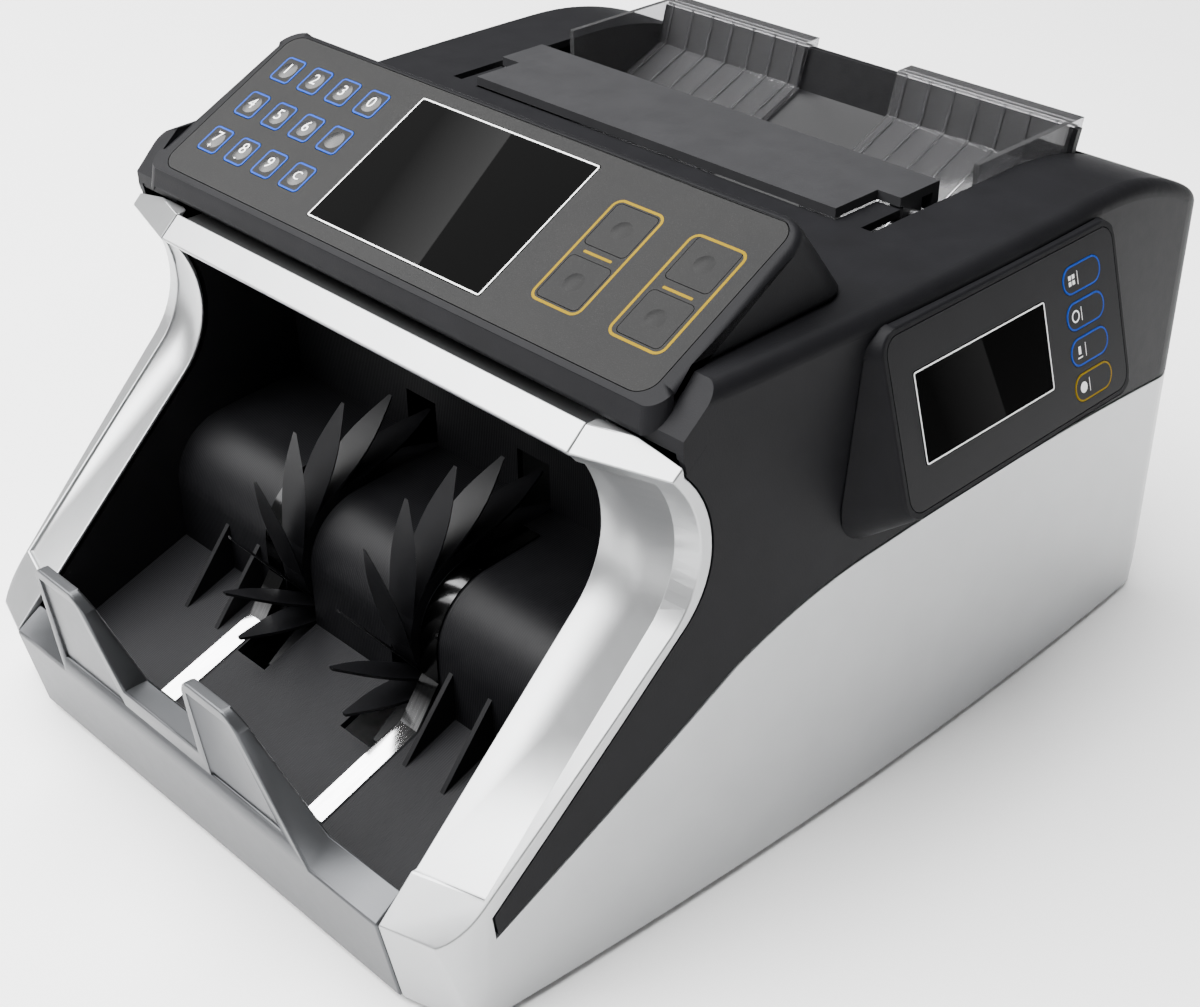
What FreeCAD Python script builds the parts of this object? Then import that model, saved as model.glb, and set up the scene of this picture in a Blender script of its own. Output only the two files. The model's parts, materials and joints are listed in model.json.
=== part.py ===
import FreeCAD, Part
import math
import os

# Banknote counting machine. Millimetres, front towards -Y, +Z up, table at z = 0.
# It is drawn about its own mirror plane x = 0 and moved at the end, so that the origin
# lies on the table under the middle of the whole machine.

V = FreeCAD.Vector

# overall shell
HALF_W = 126.0
MARGIN = 9.0
SIDE_BOW_R = 1900.0
SIDE_BOW_Y = 50.0
FRONT_BOW_R = 600.0
FRONT_Y = -173.5
CORNER_R = 18.0
REAR_CORNER_R = 20.0
WALL = 2.5
SHELL_FOOT = 2.5
TOP_Z = 169.0
REAR_FOOT_Y = 151.0
REAR_BULGE_Y = 165.5
REAR_BULGE_Z = 75.0
REAR_TOP_Y = 155.0
REAR_TOP_DROP = 17.0
REAR_TOP_Z = TOP_Z - REAR_TOP_DROP
REAR_SLOPE_Y = 92.0
REAR_ROUND = 4.7
REAR_ROUND_Y = 126.0
SEAM = 0.5
RIDGE_R = 5.0
STRIP_DROP = 15.8
STRIP_BACK = (-87.4, TOP_Z - STRIP_DROP)

# line between the silver lower shell and the black upper shell, as (y, z)
GROOVE_TIP = (-146.0, 38.5)
GROOVE_FRONT = (-145.0, 31.0)
GROOVE_BEND = (-62.0, 78.0)
GROOVE_RISE = (-36.0, 87.0)
GROOVE_KNEE = (-6.0, 91.3)
GROOVE_CREST = (66.0, 93.0)
GROOVE_REAR = (170.0, 83.8)
GROOVE_GAP = 0.8

# stacker mouth: the curve of the cheek at its inner edge
MOUTH_HALF = 92.3
MOUTH_Y = -84.5
MOUTH_DROP = 47.0
MOUTH_Z = TOP_Z - MOUTH_DROP
MOUTH_UPPER_R = 36.25
MOUTH_UPPER_DEG = 43.6
MOUTH_LOWER_R = 30.0
MOUTH_LOWER_DEG = 46.9
LEDGE_BACK = (-158.0, 40.5)
LEDGE_EDGE = (-165.8, 33.2)
NOSE_FOOT_Y = -160.0
CHEEK_T = 2.4
CHEEK_SLANT = 0.29
CHEEK_RIM_IN = 5.0
CHEEK_RIM_X = HALF_W - CHEEK_RIM_IN
RECESS_RIM = 12.0
RECESS_OUT_X = HALF_W - RECESS_RIM
RECESS_DEPTH = 1.2
RECESS_LOW_Z = 44.5
RECESS_TOP_DROP = 10.0
RECESS_TOP_Z = STRIP_BACK[1] - RECESS_TOP_DROP
RIM_BAND = 4.2
CHEEK_CLEAR = 0.3

# silver strip over the mouth
STRIP_T = 2.6
CEILING_DROP = 20.2
CEILING_Z = TOP_Z - CEILING_DROP
CEILING_T = 2.0
CEILING_REAR_Y = -45.0
DECK_Y = -70.0
DECK_RUN = 25.0
STRIP_GAP = 0.3
STRIP_NOSE_RUN = 5.0
STRIP_NOSE_DROP = 1.2

# front bumper and its stop wings
BUMPER_PROUD = 0.5
BUMPER_FOOT_Y = NOSE_FOOT_Y - BUMPER_PROUD
BUMPER_WALL_Y = -152.0
BUMPER_WALL_Z = 22.0
BUMPER_BACK = 1.0
BUMPER_SINK = 1.3
WING_IN = 20.0
WING_OUT = 56.0
WING_TOP_Z = 84.0
WING_TOP_Y = -176.0
WING_TOP_T = 3.5
WING_R = 6.0
STOP_WALL_Z = 51.0
DISH_DEPTH = 0.8
DISH_EDGE = 4.0
DISH_LOW_Z = 43.5

# base and feet
BASE_Z = 4.0
BASE_T = 2.0
BASE_GAP = 0.5
BASE_INSET = WALL + BASE_GAP
BASE_FRONT_GAP = 4.0
BASE_FRONT_Y = BUMPER_WALL_Y + BASE_FRONT_GAP
FOOT_R = 8.0
FOOT_X = 92.0
FOOT_FRONT_Y = -122.0
FOOT_REAR_Y = 128.0

# inner frame plates
FRAME_SIDE_GAP = 0.3
FRAME_X = MOUTH_HALF + FRAME_SIDE_GAP
FRAME_T = 2.4
FRAME_TOP_GAP = 0.4
FRAME_TOP_Z = CEILING_Z - FRAME_TOP_GAP
FRAME_CLEAR = 1.8
FRAME_DEPTH = CHEEK_T + FRAME_CLEAR
FLANGE_W = 10.0
FLANGE_TOP_Z = 80.0
POCKET_GAP = 0.4

# stacker pocket
FLOOR_FRONT_GAP = 0.4
FLOOR_FRONT = (BUMPER_WALL_Y + FLOOR_FRONT_GAP, 23.0)
FLOOR_DEG = 18.6
FLOOR_T = 2.5
FLOOR_GAP = 0.2
LINER_T = 2.2
WHEEL_Y = -80.0
WHEEL_TIP_R = 48.5
WHEEL_LIFT = 5.5
WHEEL_Z = BASE_Z + BASE_T + WHEEL_TIP_R + WHEEL_LIFT
DRUM_R = 21.0
LINER_BACK_Y = -48.0
CROWN_RISE = 2.0
SLOT_GAP = 1.5
CAP_T = 1.6
CAP_LAP = 0.5
CAP_FOOT_Z = 34.0
FIN_X = (47.6, 64.6)
FIN_T = 1.6
FIN_TIP_Y = -120.6
FIN_TOP_Z = 57.2
FIN_CLEAR = 0.1
STRIP_IN = 34.5
STRIP_OUT = 42.0
STEEL_T = 0.6
STEEL_FRONT_Y = -147.0
STEEL_BEND_Y = -111.0
STEEL_RISE_DROP = 10.0
STEEL_RISE_Z = WHEEL_Z - STEEL_RISE_DROP
STEEL_REAR_Y = -60.0
STEEL_LAY = 0.05
STEEL_HEEL = 0.3

# stacker wheels
WHEEL_X = 26.5
WHEEL_W = 12.0
WHEEL_HUB_R = 11.0
FINGERS = 16
FINGER_T = 1.0
FINGER_ROOT = 2.0
FINGER_TIP_W = 3.2
FINGER_FULL_R = 29.0
FINGER_PHASE_DEG = 84.6
FINGER_SWEEP_MID_DEG = 48.0
FINGER_SWEEP_ROOT_DEG = 92.0
WHEEL_GAP = 1.2
SHAFT_R = 4.0
RUN_FIT = 0.05
BEARING_R = 8.0
BEARING_W = 5.0

# feed and drive
FEED_Y = 12.0
FEED_DROP = 51.0
FEED_Z = TOP_Z - FEED_DROP
FEED_R = 20.0
FEED_ROLLER_W = 22.0
FEED_ROLLER_X = 32.0
PICK_Y = 70.0
PICK_DROP = 48.4
PICK_Z = TOP_Z - PICK_DROP
PICK_R = 13.8
PICK_X = 24.0
PICK_W = 16.0
PICK_GAP = 0.8
MOTOR_Y = 104.0
MOTOR_Z = 40.0
MOTOR_R = 21.0
MOTOR_L = 58.0
MOTOR_FOOT_IN = 8.0
MOTOR_FOOT_HALF = 12.0
MOTOR_FOOT_LAP = 2.0
SPINDLE_R = 3.0
SPINDLE_L = 20.0
SPINDLE_END_GAP = 5.0
SPINDLE_HOLE_R = 5.4
PULLEY_OUT = 6.4
PULLEY_X = FRAME_X + PULLEY_OUT
PULLEY_W = 8.0
BELT_W = 6.0
BELT_T = 1.5
BELT_GAP = 0.3
STACK_PULLEY_R = 18.0
FEED_PULLEY_R = 15.0
MOTOR_PULLEY_R = 9.0
PICK_PULLEY_R = 12.0
SHAFT_END_OUT = 6.4
SHAFT_END_X = FRAME_X + SHAFT_END_OUT
SHAFT_TAIL = 1.5
SHAFT_DRIVE_X = PULLEY_X + PULLEY_W + SHAFT_TAIL

# sensor bar, power supply
SENSOR_Y = -18.0
SENSOR_Z = 96.0
SENSOR_D = 16.0
SENSOR_H = 12.0
SUPPLY_L = 110.0
SUPPLY_D = 62.0
SUPPLY_H = 34.0
SUPPLY_GAP = 3.5
SUPPLY_Y = WHEEL_Y + WHEEL_TIP_R + SUPPLY_GAP
SUPPLY_SIDE = 7.6
SUPPLY_X = SUPPLY_SIDE - FRAME_X

# console
FACE_Y = -83.8
FACE_DROP = 6.1
FACE_Z = TOP_Z - FACE_DROP
FACE_DEG = 27.0
FACE_LEN = 67.0
FACE_HALF = 110.5
CONSOLE_FLARE = 3.5
CONSOLE_FOOT_HALF = FACE_HALF + CONSOLE_FLARE
CONSOLE_REAR_Y = -7.0
CONSOLE_FRONT_Y = -85.2
CONSOLE_CORNER_R = 6.0
CONSOLE_IN_FRONT = 4.0
CONSOLE_IN_REAR = 6.5
CONSOLE_IN_SIDE = 1.0
CONSOLE_SKIN = 2.5
DECK_HOLE_IN = 0.9
DECK_HOLE_HALF = FACE_HALF - DECK_HOLE_IN
DECK_HOLE_FRONT = 4.8
DECK_HOLE_REAR = 5.0
DECK_HOLE_Y = (FACE_Y + DECK_HOLE_FRONT, CONSOLE_REAR_Y - DECK_HOLE_REAR)
OVERLAY_T = 1.0
OVERLAY_MARGIN = 2.4
OVERLAY_SIDE = 3.4
OVERLAY_R = 6.0
OVERLAY_GAP = 0.3
DISPLAY_W = 76.8
DISPLAY_H = 52.2
DISPLAY_U = 1.0
DISPLAY_V = 33.8
DISPLAY_PROUD = 0.1
DISPLAY_LAP = 3.0
DISPLAY_R = 1.0
KEY_W = 9.4
KEY_H = 10.4
KEY_R = 1.6
KEY_U0 = -95.8
KEY_PITCH_U = 14.2
KEY_V0 = 50.9
KEY_PITCH_V = 16.6
KEY_T = 0.9
KEY_PROUD = 0.45
KEY_TRAVEL = 0.45
KEY_GAP = 0.2
KEY_STEM_R = 1.8
STEM_FIT = 0.1
STEM_END_GAP = 0.15
FUNC_W = 15.5
FUNC_H = 15.5
FUNC_U = (62.1, 92.2)
FUNC_V = (43.4, 23.4)
BOARD_DEPTH = 7.1
BOARD_T = 1.6
BOARD_HALF = 102.0
BOARD_V = (9.0, 58.0)
BOARD_R = 2.0
POST_R = 3.0
POSTS = ((98.0, 26.0), (98.0, 42.6), (46.0, 13.0), (46.0, 54.0))

# side pod, on the right side only
POD_OUT = 9.6
POD_X = HALF_W + POD_OUT
POD_Y = 38.8
POD_DROP = 30.8
POD_Z = TOP_Z - POD_DROP
POD_LEAN_DEG = 16.0
POD_L = 110.0
POD_H = 54.6
POD_R = 7.0
POD_FLARE = 0.4
POD_BACK = 24.0
POD_SEAT_GAP = 0.1
POD_MARGIN = 2.0
POD_WALL = 7.0
POD_POCKET_R = 3.0
SIDE_DISPLAY_W = 60.6
SIDE_DISPLAY_H = 27.0
SIDE_DISPLAY_U = -13.8
SIDE_DISPLAY_V = -0.2
SIDE_KEY_W = 19.0
SIDE_KEY_H = 8.6
SIDE_KEY_U = 35.8
SIDE_KEY_V0 = 14.9
SIDE_KEY_PITCH = 11.0
SIDE_STEM_L = 4.5
SIDE_KEYS = 4
SIDE_KEY_FLAT = 0.1

# top cover and the opening that it shares with the hopper
OPENING_IN = 0.8
OPENING_HALF = FRAME_X - OPENING_IN
COVER_FRONT_Y = 25.2
COVER_STEP_Y = 44.0
COVER_REAR_Y = 63.0
COVER_SIDE_GAP = 4.8
COVER_WIDE = OPENING_HALF - COVER_SIDE_GAP
COVER_STEP_IN = 8.6
COVER_HALF = COVER_WIDE - COVER_STEP_IN
COVER_RISE = 3.4
COVER_Z = TOP_Z + COVER_RISE
COVER_T = 3.0
COVER_GAP = 0.4
SLOT_FRONT_Y = 25.9
PIN_Y = 50.3
PIN_DROP = 3.5
PIN_Z = TOP_Z - PIN_DROP
PIN_R = 1.6
PIN_REACH = 4.2
PIN_OUT = OPENING_HALF + PIN_REACH
EAR_T = 5.0
EAR_R = 4.5
BOSS_T = 5.0
OPENING_REAR_Y = 136.0
LIP_DROP = 9.0

# hopper
HOPPER_CREASE_DROP = 12.0
HOPPER_FRONT_DROP = 37.0
HOPPER_RISE = 2.0
HOPPER_CREASE = (125.3, TOP_Z - HOPPER_CREASE_DROP)
HOPPER_FRONT = (64.0, TOP_Z - HOPPER_FRONT_DROP)
HOPPER_TOP = (129.5, TOP_Z + HOPPER_RISE)
HOPPER_T = 2.4
HOPPER_HALF = FRAME_X - POCKET_GAP
HOPPER_NECK_GAP = 0.6
HOPPER_NECK = OPENING_HALF - HOPPER_NECK_GAP
HOPPER_NECK_DROP = 11.0
HOPPER_NECK_Z = TOP_Z - HOPPER_NECK_DROP
GUIDE_IN = 20.3
GUIDE_SIDE_GAP = 2.6
GUIDE_OUT = HOPPER_HALF - GUIDE_SIDE_GAP
GUIDE_T = 2.0
GUIDE_GAP = 0.3
GUIDE_SIDE_Y = 79.0
GUIDE_HOOK = 7.0

# rear panel and what is on it
PANEL_IN = 3.0
PANEL_Y = REAR_FOOT_Y - PANEL_IN
PANEL_T = 2.5
PANEL_HALF = 100.0
PANEL_TOP_Z = 110.0
INLET_Z = 30.0
INLET_W = 27.0
INLET_SIDE = 7.1
INLET_X = INLET_SIDE + INLET_W / 2 + FLANGE_W - FRAME_X
INLET_H = 20.0
SOCKET_WALL = 1.5
SOCKET_D = 17.0
BLADE_T = 2.0
BLADE_H = 4.0
BLADE_BACK = 3.0
BLADES = ((-7.0, -2.5), (7.0, -2.5), (0.0, 2.5))
MODULE_WALL = 2.0
INLET_FLANGE = 3.0
INLET_D = 24.0
INLET_FACE_T = 3.0
ROCKER_W = 13.0
ROCKER_SIDE = 18.0
ROCKER_X = INLET_X + INLET_W / 2 + ROCKER_SIDE + ROCKER_W / 2
ROCKER_H = 19.0
ROCKER_D = 14.0
ROCKER_GAP = 0.4
ROCKER_WALL = 2.5
ROCKER_END_GAP = 1.0
ROCKER_PIVOT_IN = 4.5
ROCKER_PIVOT_L = 1.5
ROCKER_PIVOT_END = 0.2
ROCKER_BACK = 2.5
ROCKER_HIGH = 6.5
ROCKER_LOW = 5.0
ROCKER_TIP_IN = 0.5
ROCKER_TAPER = 2.0
ROCKER_DEG = 9.0
ROCKER_PIN_R = 1.2
PORT_X = 30.0
PORT_W = 24.0
PORT_H = 16.0
PORT_D = 15.0
PORT_LIP = 1.5
PORT_LIP_T = 1.2
PORT_SOCKET_W = 9.0
PORT_SOCKET_H = 10.0
PORT_SOCKET_X = 6.0
PORT_BACK = 3.0
SCREW_R = 1.5
SCREW_HEAD_R = 2.9
SCREW_HEAD_T = 1.7
SCREW_L = 8.0
SCREW_IN = 4.0
SCREW_X = FRAME_X - SCREW_IN
SCREW_SLOT_W = 0.8
SCREW_SLOT_L = 4.4
SCREW_SLOT_D = 0.9
PANEL_SNUG = 0.1
SCREW_Z = (14.0, 74.0)


def box(x0, x1, y0, y1, z0, z1):
    return Part.makeBox(x1 - x0, y1 - y0, z1 - z0, V(x0, y0, z0))


def cyl_x(y, z, r, x0, x1):
    return Part.makeCylinder(r, x1 - x0, V(x0, y, z), V(1, 0, 0))


def cyl_y(x, z, r, y0, y1):
    return Part.makeCylinder(r, y1 - y0, V(x, y0, z), V(0, 1, 0))


def cyl_z(x, y, r, z0, z1):
    return Part.makeCylinder(r, z1 - z0, V(x, y, z0), V(0, 0, 1))


def mirrored(shape):
    return shape.mirror(V(0, 0, 0), V(1, 0, 0))


def outline(start, steps, lift):
    """Closed wire from 2-D steps: (end,) is a line, (middle, end) is an arc."""
    edges = []
    here = start
    for step in steps + [(start,)]:
        end = step[-1]
        if math.dist(here, end) > 1e-6:
            if len(step) == 1:
                edges.append(Part.makeLine(lift(here), lift(end)))
            else:
                edges.append(Part.Arc(lift(here), lift(step[0]), lift(end)).toShape())
        here = end
    return Part.Wire(edges)


def prism_yz(start, steps, x0, x1, slant=0.0):
    """Outline in the y-z plane, drawn out along x and leaning back by slant per mm."""
    wire = outline(start, steps, lambda p: V(x0, p[0], p[1]))
    return Part.Face(wire).extrude(V(x1 - x0, slant * (x1 - x0), 0))


def polygon_yz(points, x0, x1, slant=0.0):
    return prism_yz(points[0], [(p,) for p in points[1:]], x0, x1, slant)


def polygon_xy(points, z0, z1):
    wire = outline(points[0], [(p,) for p in points[1:]], lambda p: V(p[0], p[1], z0))
    return Part.Face(wire).extrude(V(0, 0, z1 - z0))


def plate(w, h, t, r, u=0.0, v=0.0, n=0.0):
    """Flat plate with round corners in local u-v, its top at n."""
    solid = Part.makeBox(w, h, t, V(u - w / 2, v - h / 2, n - t))
    edges = [e for e in solid.Edges if abs(e.tangentAt(e.FirstParameter).z) > 0.9]
    return solid.makeFillet(r, edges)


def shifted(point, dy, dz):
    return (point[0] + dy, point[1] + dz)


def polar(r, deg):
    a = math.radians(deg)
    return (WHEEL_Y + r * math.cos(a), WHEEL_Z + r * math.sin(a))


def one_solid(shape):
    """The fused result as one clean solid."""
    clean = shape.removeSplitter()
    if not clean.isValid():
        clean = shape
    return clean.Solids[0] if len(clean.Solids) == 1 else clean


# outer form of the body: bowed sides and front in plan, bulged rear in profile
def plan_prism(inset, z0, z1):
    side_r = SIDE_BOW_R - inset
    front_r = FRONT_BOW_R - inset
    sx = HALF_W - SIDE_BOW_R
    fy = FRONT_Y + FRONT_BOW_R
    span = math.hypot(sx, fy - SIDE_BOW_Y)
    along = (front_r**2 - side_r**2 + span**2) / (2 * span)
    off = math.sqrt(front_r**2 - along**2)
    ux = sx / span
    uy = (SIDE_BOW_Y - fy) / span
    corner = max(
        (along * ux - off * uy, fy + along * uy + off * ux),
        (along * ux + off * uy, fy + along * uy - off * ux),
    )
    rear_y = REAR_BULGE_Y + 1 - inset
    rear_x = sx + math.sqrt(side_r**2 - (rear_y - SIDE_BOW_Y) ** 2)
    steps = [
        ((0, FRONT_Y + inset), corner),
        ((HALF_W - inset, SIDE_BOW_Y), (rear_x, rear_y)),
        ((-rear_x, rear_y),),
        ((inset - HALF_W, SIDE_BOW_Y), (-corner[0], corner[1])),
    ]
    wire = outline((-corner[0], corner[1]), steps, lambda p: V(p[0], p[1], z0))
    solid = Part.Face(wire).extrude(V(0, 0, z1 - z0))
    upright = [e for e in solid.Edges if abs(e.tangentAt(e.FirstParameter).z) > 0.9]
    front_edges = [e for e in upright if e.CenterOfMass.y < 0]
    solid = solid.makeFillet(CORNER_R - inset, front_edges)
    upright = [e for e in solid.Edges if abs(e.tangentAt(e.FirstParameter).z) > 0.9]
    rear_edges = [e for e in upright if e.CenterOfMass.y > REAR_TOP_Y]
    return solid.makeFillet(REAR_CORNER_R - inset, rear_edges)


def profile_prism(inset, foot):
    """Side view of the body, with the deck sloping down to the strip in front."""
    top = TOP_Z - inset
    slope = math.atan2(TOP_Z - STRIP_BACK[1], DECK_Y - STRIP_BACK[0])
    knee = (DECK_Y + inset * math.tan(slope / 2), top)
    low = (knee[0] - DECK_RUN / math.tan(slope), top - DECK_RUN)
    steps = [
        ((REAR_FOOT_Y - inset, foot),),
        ((REAR_BULGE_Y - inset, REAR_BULGE_Z), (REAR_TOP_Y - inset, REAR_TOP_Z - inset)),
        ((REAR_ROUND_Y - inset, top - REAR_ROUND), (REAR_SLOPE_Y, top)),
        (knee,),
        (low,),
        ((FRONT_Y - MARGIN, low[1]),),
    ]
    return prism_yz((FRONT_Y - MARGIN, foot), steps, -HALF_W - MARGIN, HALF_W + MARGIN)


# cheek curve, with a depth behind its face
def mouth_points(depth):
    ur = MOUTH_UPPER_R + depth
    a = math.radians(MOUTH_UPPER_DEG) - depth / ur
    b = math.radians(MOUTH_LOWER_DEG)
    uc = MOUTH_Y - MOUTH_UPPER_R
    lc = MOUTH_Y - MOUTH_LOWER_R
    lr = MOUTH_LOWER_R + depth
    top = (uc + ur * math.cos(a), MOUTH_Z + ur * math.sin(a))
    top_mid = (uc + ur * math.cos(a / 2), MOUTH_Z + ur * math.sin(a / 2))
    waist = (MOUTH_Y + depth, MOUTH_Z)
    low_mid = (lc + lr * math.cos(b / 2), MOUTH_Z - lr * math.sin(b / 2))
    low = (lc + lr * math.cos(b), MOUTH_Z - lr * math.sin(b))
    slope = shifted(LEDGE_BACK, depth * math.cos(b), -depth * math.sin(b))
    return top, top_mid, waist, low_mid, low, slope


def behind_mouth(depth, x0, x1, slant, top_z):
    """Everything behind the cheek curve."""
    top, top_mid, waist, low_mid, low, slope = mouth_points(depth)
    lip = mouth_points(0)[0]
    back = shifted(STRIP_BACK, top[0] - lip[0], top[1] - lip[1])
    steps = [
        (top_mid, waist),
        (low_mid, low),
        (slope,),
        (shifted(LEDGE_EDGE, depth, 0),),
        ((NOSE_FOOT_Y + depth, SHELL_FOOT),),
        ((REAR_BULGE_Y + 2 * MARGIN, SHELL_FOOT),),
        ((REAR_BULGE_Y + 2 * MARGIN, top_z),),
        ((back[0], top_z),),
        (back,),
    ]
    start = shifted(top, slant * (x0 - MOUTH_HALF), 0)
    moved = [tuple(shifted(p, slant * (x0 - MOUTH_HALF), 0) for p in step) for step in steps]
    return prism_yz(start, moved, x0, x1, slant)


def above_groove(lift, back):
    """Side region of the black upper shell, behind the cheek rim and above the groove."""
    top, top_mid, waist, low_mid, low, slope = mouth_points(0)
    move = CHEEK_SLANT * (CHEEK_RIM_X - MOUTH_HALF) + back
    steps = [
        (shifted(GROOVE_BEND, 0, lift),),
        (shifted(GROOVE_RISE, 0, lift), shifted(GROOVE_KNEE, 0, lift)),
        (shifted(GROOVE_CREST, 0, lift), shifted(GROOVE_REAR, 0, lift)),
        ((GROOVE_REAR[0], TOP_Z + 2 * MARGIN),),
        ((STRIP_BACK[0] + back, TOP_Z + 2 * MARGIN),),
        (shifted(STRIP_BACK, back, 0),),
        (shifted(top, move, 0),),
        (shifted(top_mid, move, 0), shifted(waist, move, 0)),
        (shifted(low_mid, move, 0), shifted(low, move, 0)),
        (shifted(GROOVE_TIP, back - RIM_BAND, 0),),
    ]
    return prism_yz(shifted(GROOVE_FRONT, back - RIM_BAND, lift), steps, -HALF_W - MARGIN, HALF_W + MARGIN)


parts = {}
far_x = HALF_W + MARGIN
plan = plan_prism(0, -MARGIN, TOP_Z + 2 * MARGIN)
outer = plan.common(profile_prism(0, SHELL_FOOT))
ridge = [
    e for e in outer.Edges
    if abs(e.CenterOfMass.z - TOP_Z) < 0.01 and abs(e.CenterOfMass.x) > HALF_W - MARGIN
]
outer = outer.makeFillet(RIDGE_R, ridge)
inner = plan_prism(WALL, -MARGIN, TOP_Z + 2 * MARGIN).common(profile_prism(WALL, SHELL_FOOT - MARGIN))
shell = outer.cut(inner)

# silver sides: cheek skin, rim and lower side wall in one moulding
cheek_face = behind_mouth(0, MOUTH_HALF, far_x, CHEEK_SLANT, STRIP_BACK[1])
cheek_back = behind_mouth(CHEEK_T, MOUTH_HALF - 1, far_x + 1, CHEEK_SLANT, TOP_Z + 2 * MARGIN)
right_side = outer.common(cheek_face).cut(inner.common(cheek_back))
right_side = right_side.cut(above_groove(0, RIM_BAND))
rear_turn = PANEL_HALF + SEAM
right_side = right_side.cut(box(0, rear_turn, 0, REAR_BULGE_Y + MARGIN, 0, TOP_Z + MARGIN))
recess = behind_mouth(-1, MOUTH_HALF - 1, RECESS_OUT_X, CHEEK_SLANT, TOP_Z)
recess = recess.cut(behind_mouth(RECESS_DEPTH, MOUTH_HALF - 2, RECESS_OUT_X + 1, CHEEK_SLANT, TOP_Z))
recess = recess.common(box(0, far_x, FRONT_Y, 0, RECESS_LOW_Z, RECESS_TOP_Z))
right_side = one_solid(right_side.cut(recess))
parts["right_side_shell"] = right_side
parts["left_side_shell"] = mirrored(right_side)

# black upper shell with the console, cover and hopper openings
upper = shell.common(above_groove(GROOVE_GAP, RIM_BAND + SEAM))
clear_cheek = behind_mouth(-SEAM, MOUTH_HALF - MARGIN, far_x, CHEEK_SLANT, STRIP_BACK[1] + SEAM)
clear_cheek = clear_cheek.cut(
    behind_mouth(CHEEK_T + CHEEK_CLEAR, MOUTH_HALF - MARGIN - 1, far_x + 1, CHEEK_SLANT, TOP_Z + 2 * MARGIN))
upper = upper.cut(clear_cheek).cut(mirrored(clear_cheek))
deck_hole = box(
    -DECK_HOLE_HALF, DECK_HOLE_HALF, DECK_HOLE_Y[0], DECK_HOLE_Y[1],
    STRIP_BACK[1] - 2 * MARGIN, TOP_Z + MARGIN)
lid_half = COVER_HALF + COVER_GAP
lid_front = COVER_FRONT_Y - COVER_GAP
cover_hole = polygon_xy(
    [(-lid_half, lid_front), (lid_half, lid_front), (lid_half, COVER_STEP_Y), (OPENING_HALF, COVER_STEP_Y),
     (OPENING_HALF, OPENING_REAR_Y), (-OPENING_HALF, OPENING_REAR_Y), (-OPENING_HALF, COVER_STEP_Y),
     (-lid_half, COVER_STEP_Y)],
    REAR_TOP_Z - MARGIN, TOP_Z + MARGIN,
)
cover_slot = box(
    COVER_WIDE + COVER_GAP, OPENING_HALF, SLOT_FRONT_Y, COVER_STEP_Y + 1, TOP_Z - MARGIN, TOP_Z + MARGIN)
upper = upper.cut(deck_hole).cut(cover_hole).cut(cover_slot).cut(mirrored(cover_slot))
boss = box(OPENING_HALF, OPENING_HALF + BOSS_T, PIN_Y - EAR_R, PIN_Y + EAR_R, PIN_Z - EAR_R, TOP_Z - 1)
upper = upper.fuse(boss).fuse(mirrored(boss))
pin_hole = cyl_x(PIN_Y, PIN_Z, PIN_R + RUN_FIT, -PIN_OUT - MARGIN, PIN_OUT + MARGIN)
parts["upper_shell"] = one_solid(upper.cut(pin_hole))

# silver strip with the ceiling of the stacker pocket behind it
lip = mouth_points(0)[0]
lean = math.atan2(STRIP_BACK[1] - lip[1], STRIP_BACK[0] - lip[0])
under = (STRIP_T * math.sin(lean), -STRIP_T * math.cos(lean))
strip_under = shifted(STRIP_BACK, *under)
strip_points = [
    lip, STRIP_BACK, strip_under, (strip_under[0], CEILING_Z + CEILING_T),
    (CEILING_REAR_Y, CEILING_Z + CEILING_T), (CEILING_REAR_Y, CEILING_Z),
    (lip[0] + STRIP_NOSE_RUN, CEILING_Z - STRIP_NOSE_DROP), shifted(lip, *under),
]
strip_half = MOUTH_HALF - STRIP_GAP
parts["front_strip"] = polygon_yz(strip_points, -strip_half, strip_half)

# front bumper: ledge, stop wings and the low wall between them
ledge_back = shifted(LEDGE_BACK, BUMPER_BACK, -BUMPER_SINK)
ledge_edge = shifted(LEDGE_EDGE, -BUMPER_PROUD, 0)
section = outline(
    (BUMPER_WALL_Y, SHELL_FOOT),
    [((BUMPER_WALL_Y, BUMPER_WALL_Z),), (ledge_back,), (ledge_edge,), ((BUMPER_FOOT_Y, SHELL_FOOT),)],
    lambda p: V(-strip_half, p[0], p[1]),
)
section = Part.Face(section)
bumper = section.extrude(V(2 * strip_half, 0, 0))
hollow = section.makeOffset2D(-WALL, 2).extrude(V(2 * strip_half, 0, 0))
bumper = bumper.cut(hollow).cut(hollow.translated(V(0, 0, -WALL)))


def wing_front(z):
    """Front face of the stop wings at a height."""
    return ledge_edge[0] + (z - ledge_edge[1]) * (WING_TOP_Y - ledge_edge[0]) / (WING_TOP_Z - ledge_edge[1])


def stop_plate(x0, x1, top_z):
    """Leaning plate on the ledge, thick at its foot."""
    back_lean = (WING_TOP_Y + WING_TOP_T - ledge_back[0]) / (WING_TOP_Z - ledge_back[1])
    rear = (ledge_back[0] + (top_z - ledge_back[1]) * back_lean, top_z)
    return polygon_yz([ledge_edge, (wing_front(top_z), top_z), rear, ledge_back], x0, x1)


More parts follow.
